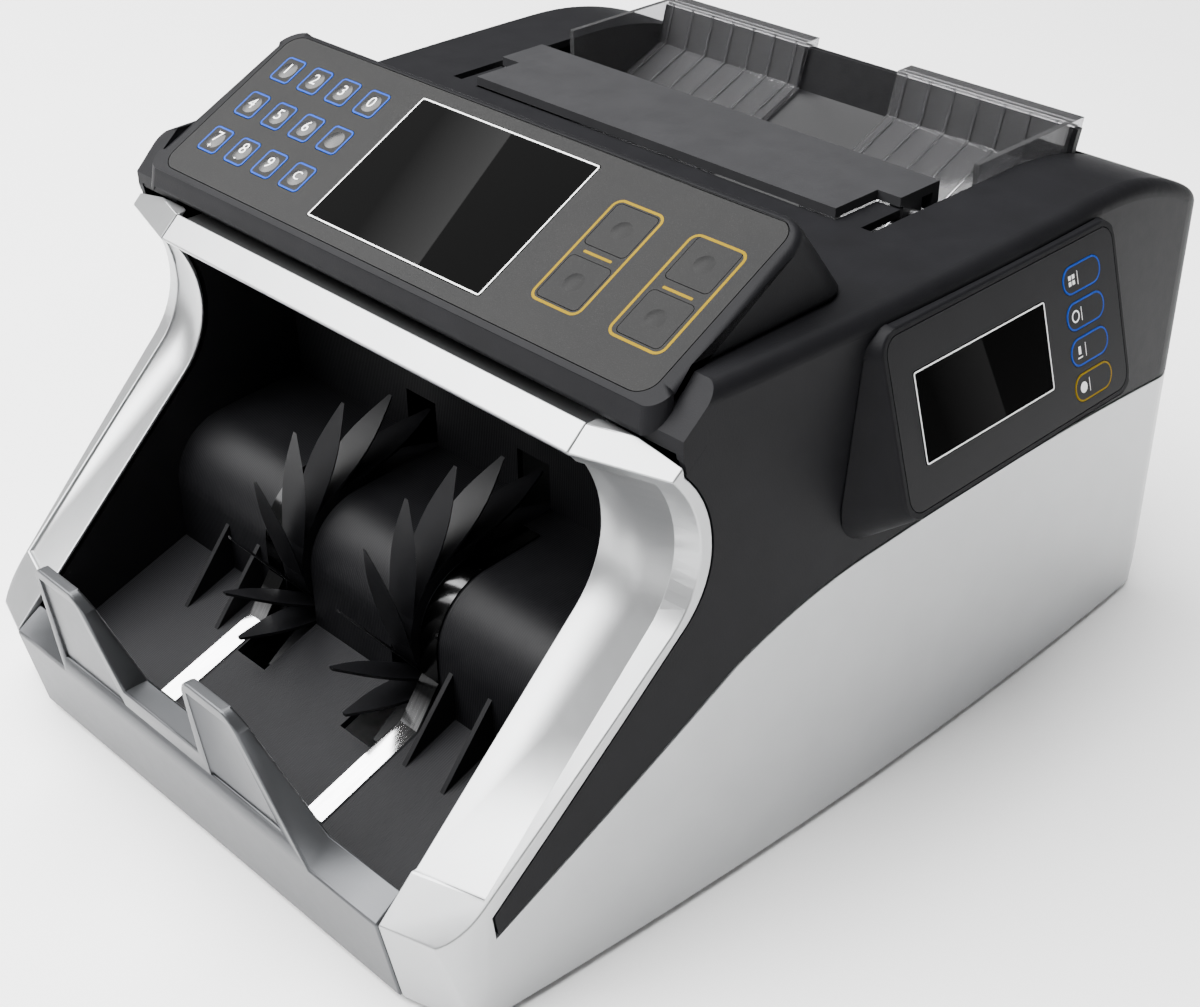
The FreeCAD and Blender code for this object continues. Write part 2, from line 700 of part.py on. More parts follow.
wing = stop_plate(WING_IN, WING_OUT, WING_TOP_Z)
tips = [
    e for e in wing.Edges
    if e.CenterOfMass.z > WING_TOP_Z - 0.01 and abs(e.tangentAt(e.FirstParameter).x) < 0.1
]
wing = wing.makeFillet(WING_R, tips)
dish_top = WING_TOP_Z - DISH_EDGE
dish = polygon_yz(
    [(wing_front(DISH_LOW_Z) - MARGIN, DISH_LOW_Z), (wing_front(dish_top) - MARGIN, dish_top),
     (wing_front(dish_top) + DISH_DEPTH, dish_top), (wing_front(DISH_LOW_Z) + DISH_DEPTH, DISH_LOW_Z)],
    WING_IN + DISH_EDGE, WING_OUT - DISH_EDGE,
)
wing = wing.cut(dish)
bumper = bumper.fuse(wing).fuse(mirrored(wing)).fuse(stop_plate(-WING_IN - 1, WING_IN + 1, STOP_WALL_Z))
parts["front_bumper"] = one_solid(bumper)

# base plate and feet
base_top = BASE_Z + BASE_T
base = plan_prism(BASE_INSET, BASE_Z, base_top)
base = base.common(box(-far_x, far_x, BASE_FRONT_Y, PANEL_Y - PANEL_SNUG, 0, base_top + 1))
before_cheek = box(MOUTH_HALF, far_x, FRONT_Y, 0, BASE_Z - 1, base_top + 1)
before_cheek = before_cheek.cut(
    behind_mouth(CHEEK_T + BASE_GAP, MOUTH_HALF - 1, far_x + 1, CHEEK_SLANT, TOP_Z))
parts["base_plate"] = base.cut(before_cheek).cut(mirrored(before_cheek))
feet = [
    cyl_z(sx * FOOT_X, y, FOOT_R, 0, BASE_Z) for sx in (-1, 1) for y in (FOOT_FRONT_Y, FOOT_REAR_Y)
]
parts["rubber_feet"] = Part.makeCompound(feet)

# inner frame plates with bearing seats and a flange for the rear panel
axles = [(WHEEL_Y, WHEEL_Z), (FEED_Y, FEED_Z), (PICK_Y, PICK_Z)]
frame_out = FRAME_X + FRAME_T
frame = behind_mouth(FRAME_DEPTH, FRAME_X, frame_out, 0, FRAME_TOP_Z)
frame = frame.common(box(FRAME_X, frame_out, FRONT_Y, PANEL_Y, base_top, FRAME_TOP_Z))
flange = box(FRAME_X - FLANGE_W, frame_out, PANEL_Y - FRAME_T, PANEL_Y, base_top, FLANGE_TOP_Z)
frame = frame.fuse(flange)
for y, z in axles:
    frame = frame.cut(cyl_x(y, z, BEARING_R + RUN_FIT, FRAME_X - 1, frame_out + 1))
screw_spots = [(sx * SCREW_X, z) for sx in (-1, 1) for z in SCREW_Z]
for x, z in screw_spots:
    frame = frame.cut(cyl_y(x, z, SCREW_R + RUN_FIT, PANEL_Y - MARGIN, PANEL_Y + MARGIN))
left_frame = mirrored(frame)
frame = frame.cut(cyl_x(MOTOR_Y, MOTOR_Z, SPINDLE_HOLE_R, FRAME_X - 1, frame_out + 1))
parts["frame_right"] = one_solid(frame)
parts["frame_left"] = one_solid(left_frame)
bearings = []
for y, z in axles:
    ring = cyl_x(y, z, BEARING_R, FRAME_X, FRAME_X + BEARING_W)
    ring = ring.cut(cyl_x(y, z, SHAFT_R + RUN_FIT, FRAME_X - 1, FRAME_X + BEARING_W + 1))
    bearings += [ring, mirrored(ring)]
parts["bearings"] = Part.makeCompound(bearings)

# stacker pocket: floor, liner with drum covers and fins, steel strips
grade = math.tan(math.radians(FLOOR_DEG))


def floor_z(y):
    return FLOOR_FRONT[1] + (y - FLOOR_FRONT[0]) * grade


pocket_half = FRAME_X - POCKET_GAP
liner_y = WHEEL_Y - DRUM_R
floor_rear = liner_y - FLOOR_GAP
floor = polygon_yz(
    [FLOOR_FRONT, (floor_rear, floor_z(floor_rear)), (floor_rear, floor_z(floor_rear) - FLOOR_T),
     shifted(FLOOR_FRONT, 0, -FLOOR_T)],
    -pocket_half, pocket_half,
)
slot_in = WHEEL_X - WHEEL_W / 2 - WHEEL_GAP
slot_out = WHEEL_X + WHEEL_W / 2 + WHEEL_GAP
wheel_slot = cyl_x(WHEEL_Y, WHEEL_Z, WHEEL_TIP_R + SLOT_GAP, slot_in, slot_out)
parts["stacker_floor"] = floor.cut(wheel_slot).cut(mirrored(wheel_slot))
crown_z = WHEEL_Z + DRUM_R
crown_rear = (LINER_BACK_Y, crown_z + CROWN_RISE)
bend = math.sqrt(0.5)


def drum_steps(r):
    """Front wall and rounded crown of the drum cover, r from the wheel axis."""
    return [
        ((WHEEL_Y - r, WHEEL_Z),),
        ((WHEEL_Y - r * bend, WHEEL_Z + r * bend), (WHEEL_Y, WHEEL_Z + r)),
    ]


def drum_back(r):
    """The same curve from the crown down to the front wall."""
    return [
        ((WHEEL_Y, WHEEL_Z + r),),
        ((WHEEL_Y - r * bend, WHEEL_Z + r * bend), (WHEEL_Y - r, WHEEL_Z)),
    ]


skin_r = DRUM_R - LINER_T
liner_rear = LINER_BACK_Y + LINER_T
steps = drum_steps(DRUM_R)
liner_top = CEILING_Z - SEAM
steps += [(crown_rear,), ((LINER_BACK_Y, liner_top),), ((liner_rear, liner_top),)]
steps += [((liner_rear, crown_rear[1] - LINER_T),)]
steps += drum_back(skin_r)
steps += [((WHEEL_Y - skin_r, CAP_FOOT_Z),)]
liner = prism_yz((WHEEL_Y - DRUM_R, CAP_FOOT_Z), steps, -pocket_half, pocket_half)
liner = liner.cut(wheel_slot).cut(mirrored(wheel_slot))
cap_steps = drum_steps(skin_r + CAP_LAP)
cap_steps += [(shifted(crown_rear, 0, -CAP_LAP),), ((LINER_BACK_Y, CAP_FOOT_Z),)]
for x0 in (slot_in - CAP_T, slot_out):
    cap = prism_yz((WHEEL_Y - skin_r - CAP_LAP, CAP_FOOT_Z), cap_steps, x0, x0 + CAP_T)
    cap = cap.cut(cyl_x(WHEEL_Y, WHEEL_Z, SHAFT_R + SLOT_GAP, x0 - 1, x0 + CAP_T + 1))
    liner = liner.fuse(cap).fuse(mirrored(cap))
for x in FIN_X:
    fin = polygon_yz(
        [(FIN_TIP_Y, floor_z(FIN_TIP_Y) + FIN_CLEAR), (liner_y + CAP_LAP, FIN_TOP_Z),
         (liner_y + CAP_LAP, floor_z(liner_y + CAP_LAP) + FIN_CLEAR)],
        x - FIN_T / 2, x + FIN_T / 2,
    )
    liner = liner.fuse(fin).fuse(mirrored(fin))
parts["stacker_liner"] = one_solid(liner)
near_r = DRUM_R + STEEL_LAY
far_r = near_r + STEEL_T
crown_gain = CROWN_RISE * (STEEL_REAR_Y - WHEEL_Y) / (LINER_BACK_Y - WHEEL_Y)
strip_steps = [
    ((STEEL_BEND_Y, floor_z(STEEL_BEND_Y) + STEEL_LAY + STEEL_T),),
    ((WHEEL_Y - far_r, STEEL_RISE_Z),),
]
strip_steps += drum_steps(far_r)
steel_rear_z = WHEEL_Z + near_r + crown_gain
strip_steps += [((STEEL_REAR_Y, steel_rear_z + STEEL_T),), ((STEEL_REAR_Y, steel_rear_z),)]
strip_steps += drum_back(near_r)
heel_y = STEEL_BEND_Y + STEEL_HEEL
strip_steps += [
    ((WHEEL_Y - near_r, STEEL_RISE_Z - STEEL_HEEL),),
    ((heel_y, floor_z(heel_y) + STEEL_LAY),),
    ((STEEL_FRONT_Y, floor_z(STEEL_FRONT_Y) + STEEL_LAY),),
]
steel_start = (STEEL_FRONT_Y, floor_z(STEEL_FRONT_Y) + STEEL_LAY + STEEL_T)
steel = prism_yz(steel_start, strip_steps, STRIP_IN, STRIP_OUT)
parts["guide_strips"] = Part.makeCompound([steel, mirrored(steel)])


# stacker wheels: curved fingers that narrow to their tips
def finger(deg, x0, x1):
    a = polar(WHEEL_HUB_R - FINGER_ROOT, deg + FINGER_SWEEP_ROOT_DEG)
    b = polar(FINGER_FULL_R, deg + FINGER_SWEEP_MID_DEG)
    c = polar(WHEEL_TIP_R, deg)
    arc = Part.Arc(V(0, *a), V(0, *b), V(0, *c)).toShape().Curve
    hub = arc.Center
    r = arc.Radius

    def ends(scale):
        return [
            (hub.y + (p[0] - hub.y) * scale, hub.z + (p[1] - hub.z) * scale) for p in (a, b, c)
        ]

    wide = ends(1 + FINGER_T / 2 / r)
    tight = ends(1 - FINGER_T / 2 / r)
    steps = [(wide[1], wide[2]), (tight[2],), (tight[1], tight[0])]
    return prism_yz(wide[0], steps, x0, x1)


wheel_in = WHEEL_X - WHEEL_W / 2
wheel_out = WHEEL_X + WHEEL_W / 2
wheel = cyl_x(WHEEL_Y, WHEEL_Z, WHEEL_HUB_R, wheel_in, wheel_out)
blades = [finger(FINGER_PHASE_DEG + 360.0 / FINGERS * i, wheel_in, wheel_out) for i in range(FINGERS)]
wheel = wheel.multiFuse(blades)
tip_in = WHEEL_X - FINGER_TIP_W / 2
tip_out = WHEEL_X + FINGER_TIP_W / 2
taper = Part.Face(outline(
    (wheel_in, 0),
    [((wheel_out, 0),), ((wheel_out, FINGER_FULL_R),), ((tip_out, WHEEL_TIP_R),),
     ((tip_in, WHEEL_TIP_R),), ((wheel_in, FINGER_FULL_R),)],
    lambda p: V(p[0], WHEEL_Y, WHEEL_Z + p[1]),
)).revolve(V(0, WHEEL_Y, WHEEL_Z), V(1, 0, 0), 360)
wheel = wheel.common(taper).cut(cyl_x(WHEEL_Y, WHEEL_Z, SHAFT_R + RUN_FIT, wheel_in - 1, wheel_out + 1))
wheel = one_solid(wheel)
parts["stacker_wheels"] = Part.makeCompound([wheel, wheel.translated(V(-2 * WHEEL_X, 0, 0))])


# shafts, rollers, motor and belt
def driven_shaft(y, z, pulley_r):
    rod = cyl_x(y, z, SHAFT_R, -SHAFT_END_X, SHAFT_DRIVE_X)
    return rod.fuse(cyl_x(y, z, pulley_r, PULLEY_X, PULLEY_X + PULLEY_W))


def roller_pair(y, z, r, x, w):
    roll = cyl_x(y, z, r, x - w / 2, x + w / 2).cut(cyl_x(y, z, SHAFT_R + RUN_FIT, x - w, x + w))
    return [roll, mirrored(roll)]


parts["stacker_shaft"] = driven_shaft(WHEEL_Y, WHEEL_Z, STACK_PULLEY_R)
parts["feed_shaft"] = driven_shaft(FEED_Y, FEED_Z, FEED_PULLEY_R)
parts["feed_rollers"] = Part.makeCompound(roller_pair(FEED_Y, FEED_Z, FEED_R, FEED_ROLLER_X, FEED_ROLLER_W))
pick = driven_shaft(PICK_Y, PICK_Z, PICK_PULLEY_R)
for sx in (-1, 1):
    pick = pick.fuse(cyl_x(PICK_Y, PICK_Z, PICK_R, sx * PICK_X - PICK_W / 2, sx * PICK_X + PICK_W / 2))
parts["pickup_roller"] = pick
motor = cyl_x(MOTOR_Y, MOTOR_Z, MOTOR_R, FRAME_X - MOTOR_L, FRAME_X)
bore_in = FRAME_X - SPINDLE_L - SPINDLE_END_GAP
motor = motor.cut(cyl_x(MOTOR_Y, MOTOR_Z, SPINDLE_R + RUN_FIT, bore_in, FRAME_X + 1))
saddle = box(
    FRAME_X - MOTOR_L + MOTOR_FOOT_IN, FRAME_X - MOTOR_FOOT_IN, MOTOR_Y - MOTOR_FOOT_HALF,
    MOTOR_Y + MOTOR_FOOT_HALF, base_top, MOTOR_Z,
)
saddle = saddle.cut(cyl_x(MOTOR_Y, MOTOR_Z, MOTOR_R - MOTOR_FOOT_LAP, FRAME_X - MOTOR_L, FRAME_X))
parts["drive_motor"] = one_solid(motor.fuse(saddle))
pulley = cyl_x(MOTOR_Y, MOTOR_Z, MOTOR_PULLEY_R, PULLEY_X, PULLEY_X + PULLEY_W)
parts["motor_pulley"] = pulley.fuse(cyl_x(MOTOR_Y, MOTOR_Z, SPINDLE_R, FRAME_X - SPINDLE_L, PULLEY_X + 1))


def belt_outline(grow):
    """Tight loop round the four pulleys, grown by a distance."""
    rounds = [
        (WHEEL_Y, WHEEL_Z, STACK_PULLEY_R + grow),
        (MOTOR_Y, MOTOR_Z, MOTOR_PULLEY_R + grow),
        (PICK_Y, PICK_Z, PICK_PULLEY_R + grow),
        (FEED_Y, FEED_Z, FEED_PULLEY_R + grow),
    ]
    normals = []
    for i, (y0, z0, r0) in enumerate(rounds):
        y1, z1, r1 = rounds[(i + 1) % len(rounds)]
        d = math.hypot(y1 - y0, z1 - z0)
        normals.append(math.atan2(z1 - z0, y1 - y0) - math.acos((r0 - r1) / d))
    points = []
    for i, (y, z, r) in enumerate(rounds):
        a = normals[i - 1]
        b = normals[i]
        while b < a:
            b += 2 * math.pi
        points.append([(y + r * math.cos(t), z + r * math.sin(t)) for t in (a, (a + b) / 2, b)])
    steps = [(points[0][1], points[0][2])]
    for arc in points[1:]:
        steps += [(arc[0],), (arc[1], arc[2])]
    return points[0][0], steps


belt_x0 = PULLEY_X + (PULLEY_W - BELT_W) / 2
belt = prism_yz(*belt_outline(BELT_GAP + BELT_T), belt_x0, belt_x0 + BELT_W)
parts["drive_belt"] = belt.cut(prism_yz(*belt_outline(BELT_GAP), belt_x0 - 1, belt_x0 + BELT_W + 1))
parts["sensor_bar"] = box(
    -pocket_half, pocket_half, SENSOR_Y - SENSOR_D / 2, SENSOR_Y + SENSOR_D / 2,
    SENSOR_Z - SENSOR_H / 2, SENSOR_Z + SENSOR_H / 2,
)
parts["power_supply"] = box(
    SUPPLY_X, SUPPLY_X + SUPPLY_L, SUPPLY_Y, SUPPLY_Y + SUPPLY_D, base_top, base_top + SUPPLY_H
)

# console on the deck, its face leaning towards the user
console_place = FreeCAD.Placement(V(0, FACE_Y, FACE_Z), FreeCAD.Rotation(V(1, 0, 0), FACE_DEG))


def on_console(shape):
    return shape.transformGeometry(console_place.toMatrix())


tilt = math.radians(FACE_DEG)


def face_point(v, n):
    y = FACE_Y + v * math.cos(tilt) - n * math.sin(tilt)
    return (y, FACE_Z + v * math.sin(tilt) + n * math.cos(tilt))


deck_grade = (TOP_Z - STRIP_BACK[1]) / (DECK_Y - STRIP_BACK[0])
deck_front_z = STRIP_BACK[1] + (CONSOLE_FRONT_Y - STRIP_BACK[0]) * deck_grade
console = polygon_yz(
    [(CONSOLE_FRONT_Y, deck_front_z), face_point(0, 0), face_point(FACE_LEN, 0), (CONSOLE_REAR_Y, TOP_Z),
     (DECK_Y, TOP_Z)],
    -CONSOLE_FOOT_HALF, CONSOLE_FOOT_HALF,
)
draft = (CONSOLE_FOOT_HALF - FACE_HALF) / (face_point(FACE_LEN, 0)[1] - deck_front_z)
high_z = TOP_Z + 4 * MARGIN
side_cut = outline(
    (CONSOLE_FOOT_HALF, deck_front_z),
    [((CONSOLE_FOOT_HALF + MARGIN, deck_front_z),), ((CONSOLE_FOOT_HALF + MARGIN, high_z),),
     ((CONSOLE_FOOT_HALF - draft * (high_z - deck_front_z), high_z),)],
    lambda p: V(p[0], CONSOLE_FRONT_Y - MARGIN, p[1]),
)
side_cut = Part.Face(side_cut).extrude(V(0, CONSOLE_REAR_Y - CONSOLE_FRONT_Y + 2 * MARGIN, 0))
console = console.cut(side_cut).cut(mirrored(side_cut))
corners = [
    e for e in console.Edges
    if e.CenterOfMass.y < FACE_Y and abs(e.tangentAt(e.FirstParameter).z) > 0.9
]
console = console.makeFillet(CONSOLE_CORNER_R, corners)
overlay_w = 2 * (FACE_HALF - OVERLAY_SIDE)
overlay_h = FACE_LEN - 2 * OVERLAY_MARGIN
face_mid = FACE_LEN / 2
plate_under = -OVERLAY_T - CONSOLE_SKIN
in_half = FACE_HALF - CONSOLE_SKIN - CONSOLE_IN_SIDE
console_in = polygon_yz(
    [face_point(CONSOLE_IN_FRONT, plate_under), face_point(FACE_LEN - CONSOLE_IN_REAR, plate_under),
     (CONSOLE_REAR_Y - CONSOLE_SKIN, TOP_Z - MARGIN),
     (face_point(CONSOLE_IN_FRONT, 0)[0], deck_front_z - MARGIN)],
    -in_half, in_half,
)
console = console.cut(console_in)
overlay_seat = plate(
    overlay_w + 2 * OVERLAY_GAP, overlay_h + 2 * OVERLAY_GAP, 2 * OVERLAY_T, OVERLAY_R + OVERLAY_GAP,
    0, face_mid, OVERLAY_T)
console = console.cut(on_console(overlay_seat))
window = plate(
    DISPLAY_W - 2 * DISPLAY_LAP, DISPLAY_H - 2 * DISPLAY_LAP, 2 * MARGIN, DISPLAY_R, DISPLAY_U, DISPLAY_V,
    MARGIN)
console = console.cut(on_console(window))
overlay = plate(overlay_w, overlay_h, OVERLAY_T, OVERLAY_R, 0, face_mid, 0)
overlay = overlay.cut(plate(
    DISPLAY_W + 2 * KEY_GAP, DISPLAY_H + 2 * KEY_GAP, 2 * MARGIN, DISPLAY_R, DISPLAY_U, DISPLAY_V, MARGIN))
parts["main_display"] = on_console(
    plate(DISPLAY_W, DISPLAY_H, OVERLAY_T + DISPLAY_PROUD, DISPLAY_R, DISPLAY_U, DISPLAY_V, DISPLAY_PROUD))
key_names = [
    ["key_1", "key_2", "key_3", "key_0"],
    ["key_4", "key_5", "key_6", "key_mode"],
    ["key_7", "key_8", "key_9", "key_clear"],
]
keys = []
for row, names in enumerate(key_names):
    for col, name in enumerate(names):
        keys.append((name, KEY_W, KEY_H, KEY_U0 + col * KEY_PITCH_U, KEY_V0 - row * KEY_PITCH_V))
for i, u in enumerate(FUNC_U):
    for j, v in enumerate(FUNC_V):
        keys.append(("key_fn_%d" % (2 * i + j + 1), FUNC_W, FUNC_H, u, v))
stem_l = BOARD_DEPTH - KEY_TRAVEL - STEM_END_GAP
for name, w, h, u, v in keys:
    cap = plate(w, h, KEY_T, KEY_R, u, v, KEY_PROUD)
    stem = cyl_z(u, v, KEY_STEM_R, -stem_l, KEY_PROUD - KEY_T / 2)
    parts[name] = on_console(cap.fuse(stem))
    overlay = overlay.cut(plate(w + 2 * KEY_GAP, h + 2 * KEY_GAP, 2 * MARGIN, KEY_R + KEY_GAP, u, v, MARGIN))
    console = console.cut(on_console(cyl_z(u, v, KEY_STEM_R + STEM_FIT, -MARGIN, MARGIN)))
parts["console_overlay"] = on_console(overlay)
board_mid = (BOARD_V[0] + BOARD_V[1]) / 2
board = plate(2 * BOARD_HALF, BOARD_V[1] - BOARD_V[0], BOARD_T, BOARD_R, 0, board_mid, -BOARD_DEPTH)
parts["main_board"] = on_console(board)
for u, v in POSTS:
    for side in (-u, u):
        console = console.fuse(on_console(cyl_z(side, v, POST_R, -BOARD_DEPTH, -OVERLAY_T)))
parts["console_housing"] = one_solid(console)

# side pod, leaning back on the right side
lean_back = math.radians(POD_LEAN_DEG)
pod_up = V(-math.sin(lean_back), 0, math.cos(lean_back))
pod_out = V(math.cos(lean_back), 0, math.sin(lean_back))
pod_axes = FreeCAD.Rotation(V(0, 1, 0), pod_up, pod_out, "XYZ")
pod_place = FreeCAD.Placement(V(POD_X, POD_Y, POD_Z), pod_axes)


def on_pod(shape):
    return shape.transformGeometry(pod_place.toMatrix())


def round_wire(w, h, r, n):
    top = [f for f in plate(w, h, 1, r, 0, 0, n).Faces if f.normalAt(0, 0).z > 0.9][0]
    return top.OuterWire


spread = 2 * POD_FLARE * POD_BACK
pod = Part.makeLoft(
    [round_wire(POD_L, POD_H, POD_R, 0),
     round_wire(POD_L + spread, POD_H + spread, POD_R + spread / 2, -POD_BACK)],
    True, True)
pod_overlay_w = POD_L - 2 * POD_MARGIN
pod_overlay_h = POD_H - 2 * POD_MARGIN
pod_overlay_r = POD_R - POD_MARGIN
pod = pod.cut(plate(
    pod_overlay_w + 2 * OVERLAY_GAP, pod_overlay_h + 2 * OVERLAY_GAP, 2 * OVERLAY_T,
    pod_overlay_r + OVERLAY_GAP, 0, 0, OVERLAY_T))
pod = pod.cut(plate(POD_L - 2 * POD_WALL, POD_H - 2 * POD_WALL, 2 * POD_BACK, POD_POCKET_R, 0, 0, plate_under))
pod = pod.cut(plate(
    SIDE_DISPLAY_W - 2 * DISPLAY_LAP, SIDE_DISPLAY_H - 2 * DISPLAY_LAP, 2 * MARGIN, DISPLAY_R, SIDE_DISPLAY_U,
    SIDE_DISPLAY_V, MARGIN))
pod_overlay = plate(pod_overlay_w, pod_overlay_h, OVERLAY_T, pod_overlay_r, 0, 0, 0)
pod_overlay = pod_overlay.cut(plate(
    SIDE_DISPLAY_W + 2 * KEY_GAP, SIDE_DISPLAY_H + 2 * KEY_GAP, 2 * MARGIN, DISPLAY_R, SIDE_DISPLAY_U,
    SIDE_DISPLAY_V, MARGIN))
parts["pod_display"] = on_pod(plate(
    SIDE_DISPLAY_W, SIDE_DISPLAY_H, OVERLAY_T + DISPLAY_PROUD, DISPLAY_R, SIDE_DISPLAY_U, SIDE_DISPLAY_V,
    DISPLAY_PROUD))
for i in range(SIDE_KEYS):
    v = SIDE_KEY_V0 - i * SIDE_KEY_PITCH
    r = SIDE_KEY_H / 2 - SIDE_KEY_FLAT
    cap = plate(SIDE_KEY_W, SIDE_KEY_H, KEY_T, r, SIDE_KEY_U, v, KEY_PROUD)
    stem = cyl_z(SIDE_KEY_U, v, KEY_STEM_R, -SIDE_STEM_L, KEY_PROUD - KEY_T / 2)
    parts["side_key_%d" % (i + 1)] = on_pod(cap.fuse(stem))
    pod_overlay = pod_overlay.cut(plate(
        SIDE_KEY_W + 2 * KEY_GAP, SIDE_KEY_H + 2 * KEY_GAP, 2 * MARGIN, r + KEY_GAP, SIDE_KEY_U, v, MARGIN))
    pod = pod.cut(cyl_z(SIDE_KEY_U, v, KEY_STEM_R + STEM_FIT, -MARGIN, MARGIN))
parts["pod_overlay"] = on_pod(pod_overlay)
parts["pod_housing"] = on_pod(pod).cut(plan_prism(-POD_SEAT_GAP, 0, TOP_Z + 2 * MARGIN))

# top cover on its two pins
step_y = COVER_STEP_Y + COVER_GAP
cover = polygon_xy(
    [(-COVER_HALF, COVER_FRONT_Y), (COVER_HALF, COVER_FRONT_Y), (COVER_HALF, step_y), (COVER_WIDE, step_y),
     (COVER_WIDE, COVER_REAR_Y), (-COVER_WIDE, COVER_REAR_Y), (-COVER_WIDE, step_y), (-COVER_HALF, step_y)],
    COVER_Z - COVER_T, COVER_Z,
)
cover = cover.fuse(box(
    -COVER_WIDE, COVER_WIDE, COVER_REAR_Y - COVER_T, COVER_REAR_Y, COVER_Z - LIP_DROP, COVER_Z))
ear = cyl_x(PIN_Y, PIN_Z, EAR_R, COVER_WIDE - EAR_T, COVER_WIDE)
ear = ear.fuse(box(COVER_WIDE - EAR_T, COVER_WIDE, PIN_Y - EAR_R, PIN_Y + EAR_R, PIN_Z, COVER_Z - 1))
cover = cover.fuse(ear).fuse(mirrored(ear))
cover = cover.cut(cyl_x(PIN_Y, PIN_Z, PIN_R + RUN_FIT, -COVER_WIDE - 1, COVER_WIDE + 1))
parts["top_cover"] = one_solid(cover)
pin = cyl_x(PIN_Y, PIN_Z, PIN_R, COVER_WIDE - EAR_T, PIN_OUT)
parts["cover_pins"] = Part.makeCompound([pin, mirrored(pin)])

# hopper plate and its clear guides
floor_dir = math.atan2(HOPPER_CREASE[1] - HOPPER_FRONT[1], HOPPER_CREASE[0] - HOPPER_FRONT[0])
back_dir = math.atan2(HOPPER_TOP[1] - HOPPER_CREASE[1], HOPPER_TOP[0] - HOPPER_CREASE[0])


def hopper_line(off):
    """Front, crease and top of the hopper surface, moved off it towards the notes."""
    half = (floor_dir + back_dir) / 2
    reach = off / math.cos((back_dir - floor_dir) / 2)
    front = shifted(HOPPER_FRONT, -off * math.sin(floor_dir), off * math.cos(floor_dir))
    crease = shifted(HOPPER_CREASE, -reach * math.sin(half), reach * math.cos(half))
    top = shifted(HOPPER_TOP, -off * math.sin(back_dir), off * math.cos(back_dir))
    return front, crease, top


def on_floor(off, y):
    front = hopper_line(off)[0]
    return (y, front[1] + (y - front[0]) * math.tan(floor_dir))


def on_back(off, z):
    crease = hopper_line(off)[1]
    return (crease[0] + (z - crease[1]) / math.tan(back_dir), z)


front, crease, top = hopper_line(0)
under_front, under_crease = hopper_line(-HOPPER_T)[:2]
hopper = polygon_yz(
    [front, crease, top, on_back(-HOPPER_T, top[1]), under_crease, under_front], -HOPPER_HALF, HOPPER_HALF)
neck = box(HOPPER_NECK, HOPPER_HALF + 1, HOPPER_FRONT[0], REAR_BULGE_Y, HOPPER_NECK_Z, TOP_Z + MARGIN)
hopper = hopper.cut(neck).cut(mirrored(neck))
for sx in (-1, 1):
    hopper = hopper.cut(cyl_x(
        PICK_Y, PICK_Z, PICK_R + PICK_GAP, sx * PICK_X - PICK_W / 2 - PICK_GAP,
        sx * PICK_X + PICK_W / 2 + PICK_GAP))
parts["hopper_plate"] = one_solid(hopper)
over_z = HOPPER_TOP[1] + GUIDE_GAP
guide_face = GUIDE_GAP + GUIDE_T
hook_in = -HOPPER_T - GUIDE_GAP
hook_out = hook_in - GUIDE_T
guide = polygon_yz(
    [on_floor(GUIDE_GAP, GUIDE_SIDE_Y), hopper_line(GUIDE_GAP)[1], on_back(GUIDE_GAP, over_z),
     on_back(hook_in, over_z), on_back(hook_in, over_z - GUIDE_HOOK), on_back(hook_out, over_z - GUIDE_HOOK),
     on_back(hook_out, over_z + GUIDE_T), on_back(guide_face, over_z + GUIDE_T), hopper_line(guide_face)[1],
     on_floor(guide_face, GUIDE_SIDE_Y)],
    GUIDE_IN, GUIDE_OUT,
)
side = polygon_yz(
    [on_floor(GUIDE_GAP, GUIDE_SIDE_Y), hopper_line(GUIDE_GAP)[1], on_back(GUIDE_GAP, over_z + GUIDE_T),
     (GUIDE_SIDE_Y, over_z + GUIDE_T)],
    GUIDE_OUT - GUIDE_T, GUIDE_OUT,
)
guide = one_solid(guide.fuse(side))
parts["hopper_guide_right"] = guide
parts["hopper_guide_left"] = mirrored(guide)

# rear panel with the power inlet, rocker and data port
panel_out = PANEL_Y + PANEL_T
module_in = panel_out - INLET_D
module_x0 = INLET_X - INLET_W / 2
module_x1 = ROCKER_X + ROCKER_W / 2 + ROCKER_WALL
module_z0 = INLET_Z - INLET_H / 2 - MODULE_WALL
module_z1 = INLET_Z + INLET_H / 2 + MODULE_WALL
port_x0 = PORT_X - PORT_W / 2
port_x1 = PORT_X + PORT_W / 2
port_z0 = INLET_Z - PORT_H / 2
port_z1 = INLET_Z + PORT_H / 2
panel = box(-PANEL_HALF, PANEL_HALF, PANEL_Y, panel_out, BASE_Z, PANEL_TOP_Z)
for x0, x1, z0, z1 in ((module_x0, module_x1, module_z0, module_z1), (port_x0, port_x1, port_z0, port_z1)):
    panel = panel.cut(box(
        x0 - PANEL_SNUG, x1 + PANEL_SNUG, PANEL_Y - 1, panel_out + 1, z0 - PANEL_SNUG, z1 + PANEL_SNUG))
for x, z in screw_spots:
    panel = panel.cut(cyl_y(x, z, SCREW_R + RUN_FIT, PANEL_Y - 1, panel_out + 1))
parts["rear_panel"] = panel
module_face = panel_out + INLET_FACE_T
module = box(module_x0, module_x1, module_in, panel_out, module_z0, module_z1)
module = module.fuse(box(
    module_x0 - INLET_FLANGE, module_x1 + INLET_FLANGE, panel_out, module_face,
    module_z0 - INLET_FLANGE, module_z1 + INLET_FLANGE))
socket_half = INLET_W / 2 - SOCKET_WALL
socket_high = INLET_H / 2 - SOCKET_WALL
module = module.cut(box(
    INLET_X - socket_half, INLET_X + socket_half, module_face - SOCKET_D, module_face + 1,
    INLET_Z - socket_high, INLET_Z + socket_high))
for dx, dz in BLADES:
    x = INLET_X + dx
    z = INLET_Z + dz
    module = module.fuse(box(
        x - BLADE_T / 2, x + BLADE_T / 2, module_face - SOCKET_D - 1, module_face - BLADE_BACK,
        z - BLADE_H / 2, z + BLADE_H / 2))
